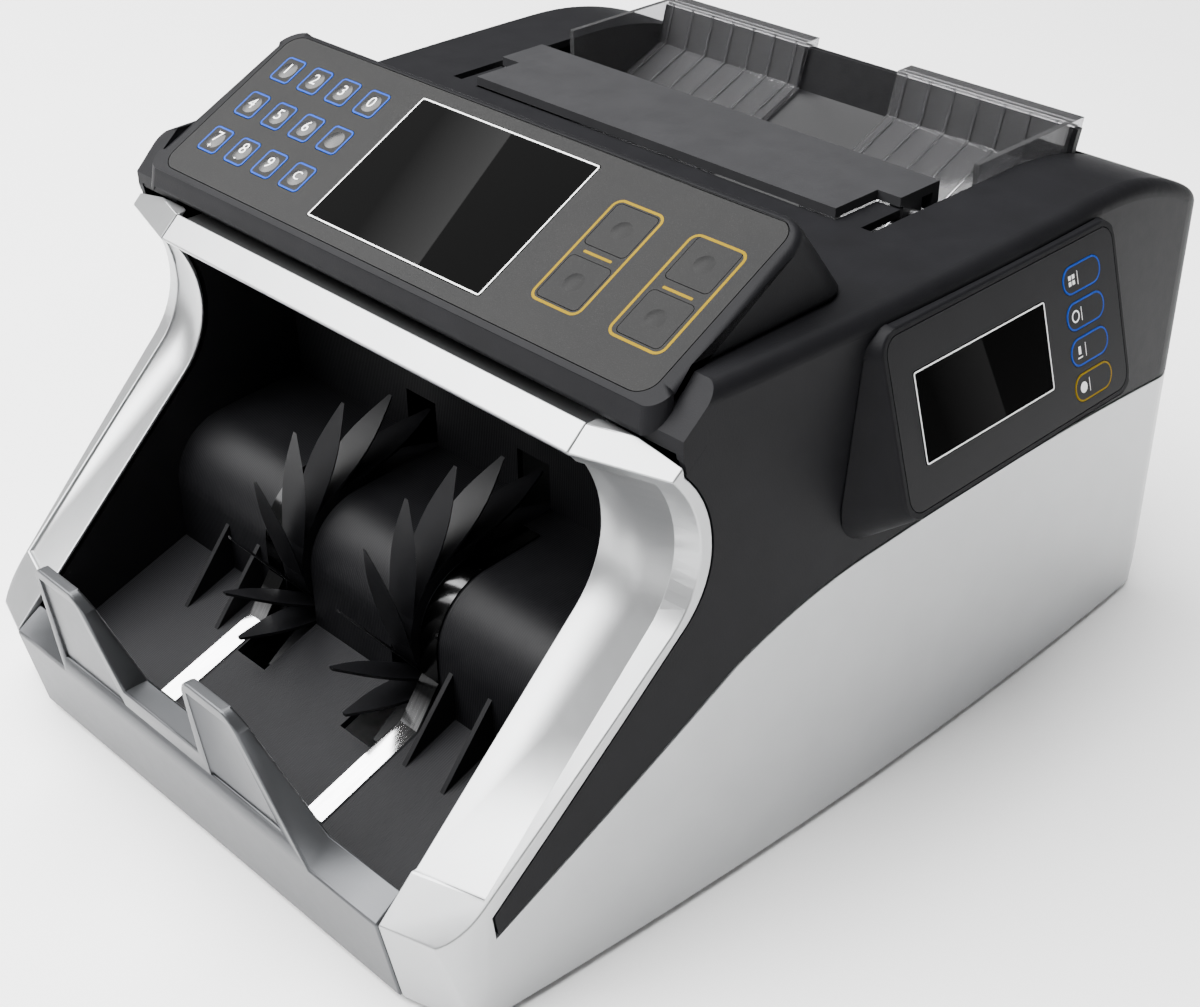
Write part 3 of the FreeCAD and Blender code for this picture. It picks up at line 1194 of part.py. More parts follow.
pit_half = ROCKER_W / 2 + ROCKER_GAP
pit_high = ROCKER_H / 2 + ROCKER_END_GAP
module = module.cut(box(
    ROCKER_X - pit_half, ROCKER_X + pit_half, module_face - ROCKER_D, module_face + 1,
    INLET_Z - pit_high, INLET_Z + pit_high))
rocker_y = module_face - ROCKER_PIVOT_IN
pivot_reach = ROCKER_W / 2 + ROCKER_PIVOT_L
module = module.cut(cyl_x(
    rocker_y, INLET_Z, ROCKER_PIN_R + RUN_FIT, ROCKER_X - pivot_reach - ROCKER_PIVOT_END,
    ROCKER_X + pivot_reach + ROCKER_PIVOT_END))
parts["power_inlet"] = one_solid(module)
tip = ROCKER_H / 2 - ROCKER_TIP_IN
rocker = polygon_yz(
    [(rocker_y - ROCKER_BACK, INLET_Z - tip + ROCKER_TAPER), (rocker_y + ROCKER_HIGH, INLET_Z - tip),
     (rocker_y + ROCKER_LOW, INLET_Z), (rocker_y + ROCKER_HIGH, INLET_Z + tip),
     (rocker_y - ROCKER_BACK, INLET_Z + tip - ROCKER_TAPER)],
    ROCKER_X - ROCKER_W / 2, ROCKER_X + ROCKER_W / 2,
)
rocker = rocker.fuse(cyl_x(rocker_y, INLET_Z, ROCKER_PIN_R, ROCKER_X - pivot_reach, ROCKER_X + pivot_reach))
parts["power_rocker"] = rocker.rotated(V(ROCKER_X, rocker_y, INLET_Z), V(1, 0, 0), -ROCKER_DEG)
port = box(port_x0, port_x1, panel_out - PORT_D, panel_out, port_z0, port_z1)
port = port.fuse(box(
    port_x0 - PORT_LIP, port_x1 + PORT_LIP, panel_out, panel_out + PORT_LIP_T,
    port_z0 - PORT_LIP, port_z1 + PORT_LIP))
for x in (PORT_X - PORT_SOCKET_X, PORT_X + PORT_SOCKET_X):
    port = port.cut(box(
        x - PORT_SOCKET_W / 2, x + PORT_SOCKET_W / 2, panel_out - PORT_D + PORT_BACK,
        panel_out + PORT_LIP_T + 1,
        INLET_Z - PORT_SOCKET_H / 2, INLET_Z + PORT_SOCKET_H / 2))
parts["data_port"] = one_solid(port)
screws = []
for x, z in screw_spots:
    head_out = panel_out + SCREW_HEAD_T
    head = cyl_y(x, z, SCREW_HEAD_R, panel_out, head_out)
    head = head.cut(box(
        x - SCREW_SLOT_L / 2, x + SCREW_SLOT_L / 2, head_out - SCREW_SLOT_D, head_out + 1,
        z - SCREW_SLOT_W / 2, z + SCREW_SLOT_W / 2))
    screws.append(head.fuse(cyl_y(x, z, SCREW_R, panel_out - SCREW_L, panel_out)))
parts["panel_screws"] = Part.makeCompound(screws)

# the origin goes to the table, under the middle of the whole machine
outermost = ("left_side_shell", "pod_housing", "front_bumper", "upper_shell")
boxes = [parts[n].optimalBoundingBox() for n in outermost]
move_x = -(min(b.XMin for b in boxes) + max(b.XMax for b in boxes)) / 2
move_y = -(min(b.YMin for b in boxes) + max(b.YMax for b in boxes)) / 2
print("moved by", round(move_x, 3), round(move_y, 3))
os.makedirs("parts", exist_ok=True)
for name, shape in parts.items():
    placed = shape.translated(V(move_x, move_y, 0))
    print(name, placed.isValid(), len(placed.Solids), round(placed.Volume, 1))
    placed.exportStep("parts/%s.step" % name)
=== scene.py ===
# %% [markdown]
# # Banknote counting machine
# The solid model gives every piece its size and place. This lesson dresses it: satin silver mouldings, dark
# textured shells, a printed console with raised keys, two glossy screens, steel strips and clear guides.
# The first cell loads the model as a frame that never moves.

# %% Load the frame
import bpy
import bmesh
import json
import math
from mathutils import Matrix, Vector

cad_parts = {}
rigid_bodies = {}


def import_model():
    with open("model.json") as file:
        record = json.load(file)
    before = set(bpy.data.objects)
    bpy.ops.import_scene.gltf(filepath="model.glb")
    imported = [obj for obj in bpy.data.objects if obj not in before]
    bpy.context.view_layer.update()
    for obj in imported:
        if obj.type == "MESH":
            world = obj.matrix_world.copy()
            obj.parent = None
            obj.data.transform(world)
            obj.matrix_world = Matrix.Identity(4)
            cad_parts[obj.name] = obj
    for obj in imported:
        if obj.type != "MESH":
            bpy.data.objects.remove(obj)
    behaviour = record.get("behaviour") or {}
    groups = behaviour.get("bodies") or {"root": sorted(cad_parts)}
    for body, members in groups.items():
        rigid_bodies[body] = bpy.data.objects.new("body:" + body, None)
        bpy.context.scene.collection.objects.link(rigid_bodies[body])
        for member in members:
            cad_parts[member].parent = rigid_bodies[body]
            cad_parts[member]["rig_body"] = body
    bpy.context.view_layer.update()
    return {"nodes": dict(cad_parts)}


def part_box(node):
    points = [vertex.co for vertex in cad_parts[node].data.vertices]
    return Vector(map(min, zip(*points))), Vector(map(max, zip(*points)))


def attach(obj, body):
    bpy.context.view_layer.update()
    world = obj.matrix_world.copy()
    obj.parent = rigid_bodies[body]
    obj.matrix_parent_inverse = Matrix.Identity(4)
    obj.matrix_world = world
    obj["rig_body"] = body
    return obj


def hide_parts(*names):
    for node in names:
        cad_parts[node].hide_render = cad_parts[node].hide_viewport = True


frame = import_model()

nodes = frame["nodes"]

# %% [markdown]
# The machine is drawn about its own middle plane, but the frame's origin lies under the middle of its whole
# box, which the side pod widens. The strip over the mouth is centred on the middle plane and the front feet
# stand at a known depth, so both give the datum. The console and the pod then get a frame each, with u
# along the face, v up the face and n out of it, so a key is placed by the same numbers that a drawing would
# have.

# %% Datum and the two faces
MM = 0.001
FRONT_FEET_Y = -130.0
CONSOLE_AT = (0, -83.8, 162.9)  # middle of the lower edge of the console's face
CONSOLE_TILT = math.radians(27)
POD_AT = (135.6, 38.8, 138.2)  # middle of the pod's face
POD_LEAN = math.radians(16)

strip_lo, strip_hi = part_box("front_strip")
feet_lo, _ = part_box("rubber_feet")
MID = Vector(((strip_lo.x + strip_hi.x) / 2, feet_lo.y - FRONT_FEET_Y * MM, 0.0))


def spot(x, y, z):
    """A point of the drawing, in millimetres, as a point of the scene."""
    return MID + Vector((x, y, z)) * MM


def on_face(face, u, v, n=0.0):
    """A place on one of the two faces, in millimetres."""
    return face @ Matrix.Translation((u * MM, v * MM, n * MM))


on_console = Matrix.Translation(spot(*CONSOLE_AT)) @ Matrix.Rotation(CONSOLE_TILT, 4, "X")
pod_turn = Matrix((
    (0, -math.sin(POD_LEAN), math.cos(POD_LEAN)),
    (1, 0, 0),
    (0, math.cos(POD_LEAN), math.sin(POD_LEAN)),
)).to_4x4()
on_pod = Matrix.Translation(spot(*POD_AT)) @ pod_turn
print("middle plane at", [round(c, 4) for c in MID])

# %% [markdown]
# ## Finishes
# Every finish starts from one shader and reads Object coordinates, so a pattern keeps its real size on
# every piece. A few small tools come first. They set the inputs of a node by name, share one source of
# coordinates in each finish, let the roughness follow a noise, stack one bump on another and mix a colour
# into a colour.

# %% Tools for a finish
def set_inputs(node, **values):
    """Sets inputs of a shader node by their names."""
    for key, value in values.items():
        node.inputs[key.replace("_", " ")].default_value = value


def add(tree, kind, **values):
    """A new shader node with some of its inputs set."""
    made = tree.nodes.new("ShaderNode" + kind)
    set_inputs(made, **values)
    return made


def shader(tree):
    """The shader that all layers of a finish lead to."""
    return tree.nodes["Principled BSDF"]


def object_coords(tree):
    """The Object coordinates that all textures of a finish share."""
    found = [n for n in tree.nodes if n.type == "TEX_COORD"]
    coords = found[0] if found else add(tree, "TexCoord")
    return coords.outputs["Object"]


def two_tone(tree, source, dark, light, low=0.3, high=0.7):
    """A ramp from a dark colour to a light one."""
    ramp = add(tree, "ValToRGB")
    ramp.color_ramp.elements[0].position = low
    ramp.color_ramp.elements[0].color = (*dark, 1)
    ramp.color_ramp.elements[1].position = high
    ramp.color_ramp.elements[1].color = (*light, 1)
    tree.links.new(source, ramp.inputs["Fac"])
    return ramp.outputs["Color"]


def roughen(tree, source, rough):
    """Lets the roughness wander between two values."""
    spread = add(tree, "MapRange", To_Min=rough[0], To_Max=rough[1])
    tree.links.new(source, spread.inputs["Value"])
    tree.links.new(spread.outputs["Result"], shader(tree).inputs["Roughness"])


def press(tree, source, strength, depth):
    """Adds a bump with a depth in millimetres, on top of any that the finish already has."""
    normal = shader(tree).inputs["Normal"]
    bump = add(tree, "Bump", Strength=strength, Distance=depth * MM)
    tree.links.new(source, bump.inputs["Height"])
    if normal.links:
        tree.links.new(normal.links[0].from_socket, bump.inputs["Normal"])
    tree.links.new(bump.outputs["Normal"], normal)


def blend(tree, kind, source):
    """Mixes a second colour into the base colour of a finish."""
    colour = shader(tree).inputs["Base Color"]
    both = add(tree, "MixRGB", Fac=1.0)
    both.blend_type = kind
    tree.links.new(colour.links[0].from_socket, both.inputs["Color1"])
    tree.links.new(source, both.inputs["Color2"])
    tree.links.new(both.outputs["Color"], colour)


print("finish tools ready")

# %% [markdown]
# Three layers make a moulding believable: slow patches of colour, a roughness that wanders a little, and a
# fine grain in the bump. One function lays all three, so the finishes that follow differ only in their
# numbers.

# %% A moulded surface
GRAIN_BUMP = 0.6
WANDER_SCALE = 4  # how much finer the roughness wanders than the colour


def moulded(name, dark, light, rough, grain, depth, metal=0.0, patch=70.0, shine=0.5):
    """Patches of colour, wandering roughness and a fine grain with a depth in millimetres."""
    mat = bpy.data.materials.new(name)
    mat.use_nodes = True
    tree = mat.node_tree
    patches = add(tree, "TexNoise", Scale=patch, Detail=4.0, Roughness=0.6)
    fine = add(tree, "TexNoise", Scale=grain, Detail=2.0, Roughness=0.5)
    wander = add(tree, "TexNoise", Scale=patch * WANDER_SCALE, Detail=3.0)
    for noise in (patches, fine, wander):
        tree.links.new(object_coords(tree), noise.inputs["Vector"])
    colour = two_tone(tree, patches.outputs["Fac"], dark, light)
    tree.links.new(colour, shader(tree).inputs["Base Color"])
    roughen(tree, wander.outputs["Fac"], rough)
    press(tree, fine.outputs["Fac"], GRAIN_BUMP, depth)
    set_inputs(shader(tree), Metallic=metal, Specular_IOR_Level=shine)
    return mat


print("moulded surface ready")

# %% [markdown]
# The outer mouldings are satin silver paint and two dark plastics with a fine grain. The bumper wears a much
# darker copy of the same silver, which is painted shade: it stands in for the shade on its front, which faces
# away from the light above. Dark plastic needs very low colours and a weak shine, or the studio light turns
# it grey. The satin silver has a thin coat on top, which gives the soft second highlight of a lacquer.

# %% Shells and covers
silver = moulded(
    "satin_silver", (0.355, 0.36, 0.365), (0.375, 0.38, 0.385),
    rough=(0.33, 0.37), grain=2600, depth=0.02, metal=0.85)
set_inputs(shader(silver.node_tree), Coat_Weight=0.15, Coat_Roughness=0.3)
# A darker copy of the satin silver for the bumper: painted shade, the same paint drawn as if in shadow.
silver_painted_shade = moulded(
    "silver_painted_shade", (0.066, 0.068, 0.072), (0.074, 0.076, 0.080),
    rough=(0.38, 0.44), grain=2600, depth=0.02, metal=0.85)
charcoal = moulded(
    "charcoal_shell", (0.0052, 0.0052, 0.0060), (0.0066, 0.0066, 0.0076),
    rough=(0.45, 0.53), grain=1900, depth=0.06, shine=0.07)
cover_grey = moulded(
    "cover_grey", (0.0165, 0.0165, 0.0178), (0.0200, 0.0200, 0.0215),
    rough=(0.42, 0.50), grain=1900, depth=0.06, shine=0.2)
print("shells", silver.name, silver_painted_shade.name, charcoal.name, cover_grey.name)

# %% [markdown]
# The pieces inside, below and behind are plain: black plastic, rubber, painted steel, zinc sheet and the
# green laminate of the board. They use the same three layers, with a deeper grain on rubber and panel paint.

# %% Inner pieces
inner_black = moulded(
    "inner_black", (0.0030, 0.0030, 0.0036), (0.0045, 0.0045, 0.0052),
    rough=(0.34, 0.44), grain=1500, depth=0.04, shine=0.2)
inlet_black = moulded(
    "inlet_black", (0.012, 0.012, 0.013), (0.018, 0.018, 0.019), rough=(0.35, 0.5), grain=1700, depth=0.04)
wheel_grey = moulded(
    "finger_grey", (0.0030, 0.0030, 0.0036), (0.0046, 0.0046, 0.0054),
    rough=(0.40, 0.48), grain=900, depth=0.03, shine=0.15)
black_steel = moulded(
    "black_steel", (0.0030, 0.0030, 0.0036), (0.0045, 0.0045, 0.0052),
    rough=(0.45, 0.55), grain=1200, depth=0.03, shine=0.2)
foot_rubber = moulded(
    "foot_rubber", (0.010, 0.010, 0.010), (0.020, 0.020, 0.020), rough=(0.75, 0.9), grain=1300, depth=0.10)
roller_rubber = moulded(
    "roller_rubber", (0.030, 0.030, 0.032), (0.045, 0.045, 0.047), rough=(0.7, 0.85), grain=1100, depth=0.12)
zinc = moulded(
    "zinc_sheet", (0.38, 0.39, 0.40), (0.55, 0.56, 0.57),
    rough=(0.35, 0.5), grain=300, depth=0.02, metal=0.9, patch=160.0)
panel_paint = moulded(
    "panel_paint", (0.018, 0.018, 0.019), (0.026, 0.026, 0.027), rough=(0.5, 0.65), grain=1400, depth=0.09)
motor_paint = moulded(
    "motor_can", (0.020, 0.020, 0.022), (0.035, 0.035, 0.037),
    rough=(0.3, 0.45), grain=700, depth=0.03, metal=0.3)
laminate = moulded(
    "green_laminate", (0.010, 0.085, 0.030), (0.014, 0.11, 0.042), rough=(0.3, 0.45), grain=500, depth=0.03)
print("materials so far", len(bpy.data.materials))

# %% [markdown]
# The stacker floor and the drum covers have a very fine rib, and the belt has teeth. A wave texture gives
# them: its bands run along one axis, and its scale sets their pitch. The wave feeds a bump on top of the
# grain, so such small ribs catch the light without any extra geometry.

# %% Ribbed finishes
WAVE_BAND = 0.314  # width of one band of a wave texture at scale 1
RIB_BUMP = 0.8


def ribbed(mat, pitch, depth, axis="X"):
    """Ribs with a pitch and depth in millimetres, on top of the grain that the finish already has."""
    tree = mat.node_tree
    wave = add(tree, "TexWave", Scale=WAVE_BAND / (pitch * MM))
    wave.bands_direction = axis
    tree.links.new(object_coords(tree), wave.inputs["Vector"])
    press(tree, wave.outputs["Fac"], RIB_BUMP, depth)


floor_black = moulded(
    "ribbed_floor", (0.0038, 0.0038, 0.0047), (0.0050, 0.0050, 0.0060),
    rough=(0.48, 0.58), grain=1500, depth=0.04, shine=0.12)
liner_black = moulded(
    "ribbed_liner", (0.0030, 0.0030, 0.0036), (0.0045, 0.0045, 0.0052),
    rough=(0.42, 0.52), grain=1500, depth=0.03, shine=0.12)
belt_rubber = moulded(
    "belt_rubber", (0.012, 0.012, 0.012), (0.022, 0.022, 0.022), rough=(0.7, 0.85), grain=900, depth=0.06)
ribbed(floor_black, pitch=0.8, depth=0.1)
ribbed(liner_black, pitch=0.8, depth=0.05)
ribbed(belt_rubber, pitch=3.0, depth=0.4, axis="Y")
print("ribbed", floor_black.name, liner_black.name, belt_rubber.name)

# %% [markdown]
# The hopper guides are clear plastic with a smoky tint. Light has to pass through them, so most of the
# shader is transmission. Thin walls bend light less than a solid block, and a low index of refraction shows
# that.

# %% Clear plastic
smoke = moulded(
    "smoky_clear", (0.36, 0.36, 0.37), (0.40, 0.40, 0.41), rough=(0.02, 0.05), grain=200, depth=0.001)
set_inputs(shader(smoke.node_tree), Transmission_Weight=0.94, IOR=1.25)
print("clear plastic", smoke.name)

# %% [markdown]
# Metal shows the way it was worked. The guide strips are polished and then scratched lengthways by the
# notes, while shafts and pins carry fine turning marks around them. Both come from one noise: a Mapping
# node scales it far more along X than along Y and Z, so its spots become lines that lie across X. The
# strips keep their full colour low down and are darkened to a small share of it where they climb towards the
# wheels.

# %% Worked metal
LINE_BUMP = 0.5
STRIP_FULL_Z, STRIP_DARK_Z, STRIP_DARK_SHARE = 39, 46, 0.05


def worked(name, dark, light, rough, scale, depth):
    """Metal with fine lines across the axis that is scaled most, and a depth in millimetres."""
    mat = bpy.data.materials.new(name)
    mat.use_nodes = True
    tree = mat.node_tree
    squeeze = add(tree, "Mapping", Scale=scale)
    tree.links.new(object_coords(tree), squeeze.inputs["Vector"])
    lines = add(tree, "TexNoise", Scale=1.0, Detail=6.0, Roughness=0.7)
    tree.links.new(squeeze.outputs["Vector"], lines.inputs["Vector"])
    colour = two_tone(tree, lines.outputs["Fac"], dark, light, low=0.35, high=0.65)
    tree.links.new(colour, shader(tree).inputs["Base Color"])
    roughen(tree, lines.outputs["Fac"], rough)
    press(tree, lines.outputs["Fac"], LINE_BUMP, depth)
    set_inputs(shader(tree), Metallic=1.0)
    return mat


def darkened_with_height(mat, low, high, share):
    """Darkens a finish with height: all of its colour at low, a share of it at high, in millimetres."""
    tree = mat.node_tree
    parts = add(tree, "SeparateXYZ")
    tree.links.new(object_coords(tree), parts.inputs["Vector"])
    climb = add(tree, "MapRange", From_Min=low * MM, From_Max=high * MM, To_Min=1.0, To_Max=share)
    tree.links.new(parts.outputs["Z"], climb.inputs["Value"])
    blend(tree, "MULTIPLY", climb.outputs["Result"])


polished = worked(
    "polished_strip", (0.70, 0.70, 0.71), (0.92, 0.92, 0.93),
    rough=(0.06, 0.2), scale=(1500, 60, 60), depth=0.02)
turned = worked(
    "turned_steel", (0.45, 0.45, 0.46), (0.62, 0.62, 0.63),
    rough=(0.22, 0.38), scale=(2500, 90, 90), depth=0.03)
# The guide strips keep their full colour up to STRIP_FULL_Z and darken to a small share of it by
# STRIP_DARK_Z.
darkened_with_height(polished, STRIP_FULL_Z, STRIP_DARK_Z, STRIP_DARK_SHARE)
print("metals", polished.name, turned.name)

# %% [markdown]
# The console and pod carry a printed film. The console's is dark grey with a fine sparkle, whose flecks are
# one fine noise pushed through a steep ramp and added to the colour. The same films cover the keys, and
# thin inks lie on them in blue, yellow and white. An ink is nearly one colour, so it only gets a slow drift
# and a soft grain.

# %% Films and inks
FLECK_SCALE = 3600
FLECK_COLOUR = (0.012, 0.012, 0.0116)

film = moulded(
    "grey_film", (0.0062, 0.0062, 0.0064), (0.0077, 0.0076, 0.0075),
    rough=(0.38, 0.44), grain=2600, depth=0.06, shine=0.08)
film_tree = film.node_tree
flecks = add(film_tree, "TexNoise", Scale=FLECK_SCALE, Detail=1.0)
film_tree.links.new(object_coords(film_tree), flecks.inputs["Vector"])
sparkle = two_tone(film_tree, flecks.outputs["Fac"], (0, 0, 0), FLECK_COLOUR, low=0.6, high=0.75)
blend(film_tree, "ADD", sparkle)
pod_film = moulded(
    "dark_film", (0.0052, 0.0052, 0.0060), (0.0065, 0.0065, 0.0074),
    rough=(0.36, 0.44), grain=2400, depth=0.06, shine=0.1)
dome_clear = moulded(
    "dome_gloss", (0.0080, 0.0082, 0.0088), (0.0100, 0.0102, 0.0110),
    rough=(0.24, 0.30), grain=800, depth=0.02, shine=0.35)
blue_ink = moulded(
    "blue_ink", (0.002, 0.038, 0.27), (0.003, 0.046, 0.31),
    rough=(0.3, 0.4), grain=1500, depth=0.03, shine=0.05)
yellow_ink = moulded(
    "yellow_ink", (0.17, 0.110, 0.0), (0.20, 0.128, 0.0),
    rough=(0.3, 0.4), grain=1500, depth=0.03, shine=0.03)
white_ink = moulded(
    "white_ink", (0.78, 0.78, 0.78), (0.86, 0.86, 0.86), rough=(0.35, 0.45), grain=1500, depth=0.03)
print("films and inks", film.name, pod_film.name, blue_ink.name, yellow_ink.name, white_ink.name)

# %% [markdown]
# A screen that is off is black glass. Its soft grey sheen, which ends on a slanted line, is a painted
# reflection:
# it is drawn into the colour of the glass, in the face's own u and v. A Mapping node of type Texture undoes
# the face's turn, and a ramp over a slanted sum of u and v gives the slow rise and the sharp end.

# %% Black glass with a painted sheen
GLASS_BLACK = (0.0008, 0.0008, 0.0008)
SHEEN_PEAK_AT = 0.985  # share of the way from start to end


def black_glass_painted_sheen(name, face, slant, start, end, painted_sheen_peak):
    """Glossy black with a painted slanted sheen, a reflection drawn into its colour, from start to end, in
    millimetres along the face.
    """
    mat = moulded(name, GLASS_BLACK, GLASS_BLACK, rough=(0.04, 0.07), grain=400, depth=0.004, shine=0.005)
    tree = mat.node_tree
    undo = add(tree, "Mapping", Location=face.to_translation(), Rotation=face.to_euler())
    undo.vector_type = "TEXTURE"
    tree.links.new(object_coords(tree), undo.inputs["Vector"])
    parts = add(tree, "SeparateXYZ")
    tree.links.new(undo.outputs["Vector"], parts.inputs["Vector"])
    lean = add(tree, "Math")
    lean.operation = "MULTIPLY_ADD"
    lean.inputs[1].default_value = slant
    tree.links.new(parts.outputs["Y"], lean.inputs[0])
    tree.links.new(parts.outputs["X"], lean.inputs[2])
    along = add(tree, "MapRange", From_Min=start * MM, From_Max=end * MM)
    tree.links.new(lean.outputs["Value"], along.inputs["Value"])
    # The painted sheen: a reflection drawn into the base colour, which rises to its peak and then ends at
    # once.
    sheen = two_tone(tree, along.outputs["Result"], GLASS_BLACK, (painted_sheen_peak, painted_sheen_peak, painted_sheen_peak), 0.0, SHEEN_PEAK_AT)
    sheen.node.color_ramp.elements.new(1.0).color = (*GLASS_BLACK, 1)
    tree.links.new(sheen, shader(tree).inputs["Base Color"])
    return mat


main_glass = black_glass_painted_sheen("main_screen_painted_sheen", on_console, slant=0.205, start=-14, end=15.2, painted_sheen_peak=0.011)
pod_glass = black_glass_painted_sheen("pod_screen_painted_sheen", on_pod, slant=0.25, start=-36, end=-10.4, painted_sheen_peak=0.009)
print("glass", main_glass.name, pod_glass.name)

# %% [markdown]
# ## Dressing the frame
# Most solid pieces already have their true shape, so they only need the right finish. A CAD object's mesh
# is never touched: its material slots are filled and that is all.

# %% Finishes on the solid pieces
worn_by = {
    silver: ["right_side_shell", "left_side_shell", "front_strip"],
    # The bumper wears the silver with painted shade.
    silver_painted_shade: ["front_bumper"],
    charcoal: ["upper_shell", "console_housing", "pod_housing"],
    cover_grey: ["top_cover"],
    inner_black: ["hopper_plate", "sensor_bar"],
    black_steel: ["frame_right", "frame_left", "power_supply"],
    floor_black: ["stacker_floor"],
    liner_black: ["stacker_liner"],
    zinc: ["base_plate"],
    panel_paint: ["rear_panel"],
    foot_rubber: ["rubber_feet"],
    roller_rubber: ["feed_rollers"],
    belt_rubber: ["drive_belt"],
    turned: ["bearings", "stacker_shaft", "feed_shaft", "pickup_roller", "cover_pins", "panel_screws",
             "motor_pulley"],
    polished: ["guide_strips"],
    wheel_grey: ["stacker_wheels"],
    motor_paint: ["drive_motor"],
    main_glass: ["main_display"],
    pod_glass: ["pod_display"],
    film: ["console_overlay"],
    pod_film: ["pod_overlay"],
    laminate: ["main_board"],
    smoke: ["hopper_guide_right", "hopper_guide_left"],
    inlet_black: ["power_inlet", "power_rocker", "data_port"],
}
for mat, names in worn_by.items():
    for name in names:
        mesh = nodes[name].data
        mesh.materials.clear()
        mesh.materials.append(mat)
print("dressed", sum(len(names) for names in worn_by.values()))

# %% [markdown]
# Every new piece ends in the same way. Its bmesh becomes an object at the origin, with its place in its mesh,
# that rides on the body it belongs to. Smooth shading with sharp edges above an angle keeps flat faces flat.
# Three more tools pick the points that an operator made, turn faces upwards and make a slab from an outline.

# %% A finished piece
SHARP_ABOVE = math.radians(32)


def finish_piece(name, bm, body, slot, *mats):
    """Turns a bmesh into an object at the origin that rides on a body."""
    mesh = bpy.data.meshes.new(name)
    bm.to_mesh(mesh)
    bm.free()
    for mat in mats:
        mesh.materials.append(mat)
    mesh.shade_smooth()
    mesh.set_sharp_from_angle(angle=SHARP_ABOVE)
    obj = bpy.data.objects.new(name, mesh)
    bpy.context.scene.collection.objects.link(obj)
    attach(obj, body)
    return obj


def points_in(geom):
    """The vertices among the geometry that an operator made."""
    return [g for g in geom if isinstance(g, bmesh.types.BMVert)]


def face_up(faces):
    """Turns faces so that they look upwards."""
    for face in faces:
        face.normal_update()
        if face.normal.z < 0:
            face.normal_flip()


def slab(bm, outline, sideways):
    """One face between the points of an outline, extruded sideways by millimetres."""
    face = bm.faces.new([bm.verts.new(point) for point in outline])
    grown = bmesh.ops.extrude_face_region(bm, geom=[face])["geom"]
    bmesh.ops.translate(bm, vec=(sideways * MM, 0, 0), verts=points_in(grown))


print("piece tools ready")

# %% [markdown]
# Moulded edges are never knife sharp: a small round catches a line of light, and that line is what makes a
# seam read as a seam. A copy of the solid is merged first and its flat faces are joined up. Then every edge
# is tested, because a round needs room: both faces have to be wide enough and the edge long enough.

# %% Edges with room for a round
MERGE_WITHIN = 2e-6  # in metres
FLAT_BELOW = math.radians(0.4)
ROUND_ABOVE = math.radians(28)
EDGE_ROOM, FACE_ROOM = 0.7, 2.4  # least length of the edge and width of the faces, in radii of the round


def merged_copy(node):
    """The mesh of a solid piece with its points merged and its flat faces joined up."""
    bm = bmesh.new()
    bm.from_mesh(nodes[node].data)
    bmesh.ops.remove_doubles(bm, verts=bm.verts, dist=MERGE_WITHIN)
    bmesh.ops.dissolve_limit(bm, angle_limit=FLAT_BELOW, verts=bm.verts, edges=bm.edges)
    return bm


def reach(face, edge):
    """How far a face runs from one of its edges."""
    start = edge.verts[0].co
    along = (edge.verts[1].co - start).normalized()
    return max(((v.co - start) - along * (v.co - start).dot(along)).length for v in face.verts)


def can_round(edge, radius):
    """True for an outer edge with room for the round on both of its faces."""
    if len(edge.link_faces) != 2 or not edge.is_convex:
        return False
    if edge.calc_face_angle(0.0) < ROUND_ABOVE or edge.calc_length() < EDGE_ROOM * radius:
        return False
    return all(reach(face, edge) > FACE_ROOM * radius for face in edge.link_faces)


print("edge tests ready")

# %% [markdown]
# Two copies change a little more than their edges. The console turns its two rear corners in a wide round,
# which is a bevel of those two edges alone. The stop wings on the bumper are narrow at the top and wide at
# the foot, so each of their points moves sideways, by an amount that depends on its height.

# %% Console corners and stop wings
CORNER_R, CORNER_STEPS = 9.0, 7
CORNER_X, CORNER_FRONT, CORNER_BACK, CORNER_LOW = 109.0, -25.0, -6.0, 168.0
WING_IN, WING_OUT, WING_LOW, WING_TOP = 20.0, 56.0, 33.2, 84.0
FOOT_IN, FOOT_OUT, TIP_IN, TIP_OUT = 15.0, 63.0, 26.0, 49.0
WING_SLACK_X, WING_SLACK_Z = 0.5, 0.1


def is_console_corner(edge):
    """True for the two upright edges at the back of the console."""
    ends = [(v.co - MID) / MM for v in edge.verts]
    near = all(abs(p.x) > CORNER_X and CORNER_FRONT < p.y < CORNER_BACK and p.z > CORNER_LOW for p in ends)
    return near and ends[0].x * ends[1].x > 0


def round_corners(bm):
    """Rounds the two rear corners of the console."""
    corners = [e for e in bm.edges if is_console_corner(e)]
    bmesh.ops.bevel(
        bm, geom=corners, offset=CORNER_R * MM, offset_type="OFFSET",
        segments=CORNER_STEPS, profile=0.5, affect="EDGES", material=-1)


def taper_wings(bm):
    """Draws the two stop wings in at their tops and out at their feet."""
    for vert in bm.verts:
        p = (vert.co - MID) / MM
        beside = WING_IN - WING_SLACK_X < abs(p.x) < WING_OUT + WING_SLACK_X
        if beside and p.z > WING_LOW - WING_SLACK_Z:
            share = (p.z - WING_LOW) / (WING_TOP - WING_LOW)
            inner = FOOT_IN + (TIP_IN - FOOT_IN) * share
            outer = FOOT_OUT + (TIP_OUT - FOOT_OUT) * share
            x = inner + (outer - inner) * (abs(p.x) - WING_IN) / (WING_OUT - WING_IN)
            vert.co.x = MID.x + math.copysign(x, p.x) * MM


reshaped = {"console_housing": round_corners, "front_bumper": taper_wings}
print("reshaped", sorted(reshaped))

# %% [markdown]
# Now the copies are made. The edges that passed the test get a bevel weight, and a Bevel modifier rounds
# only those. A modifier is kinder than an operator here, because it keeps the normals of the flat faces
# next to the round. Each copy then stands for its solid.

# %% Rounded copies
ROUND_STEPS = 3


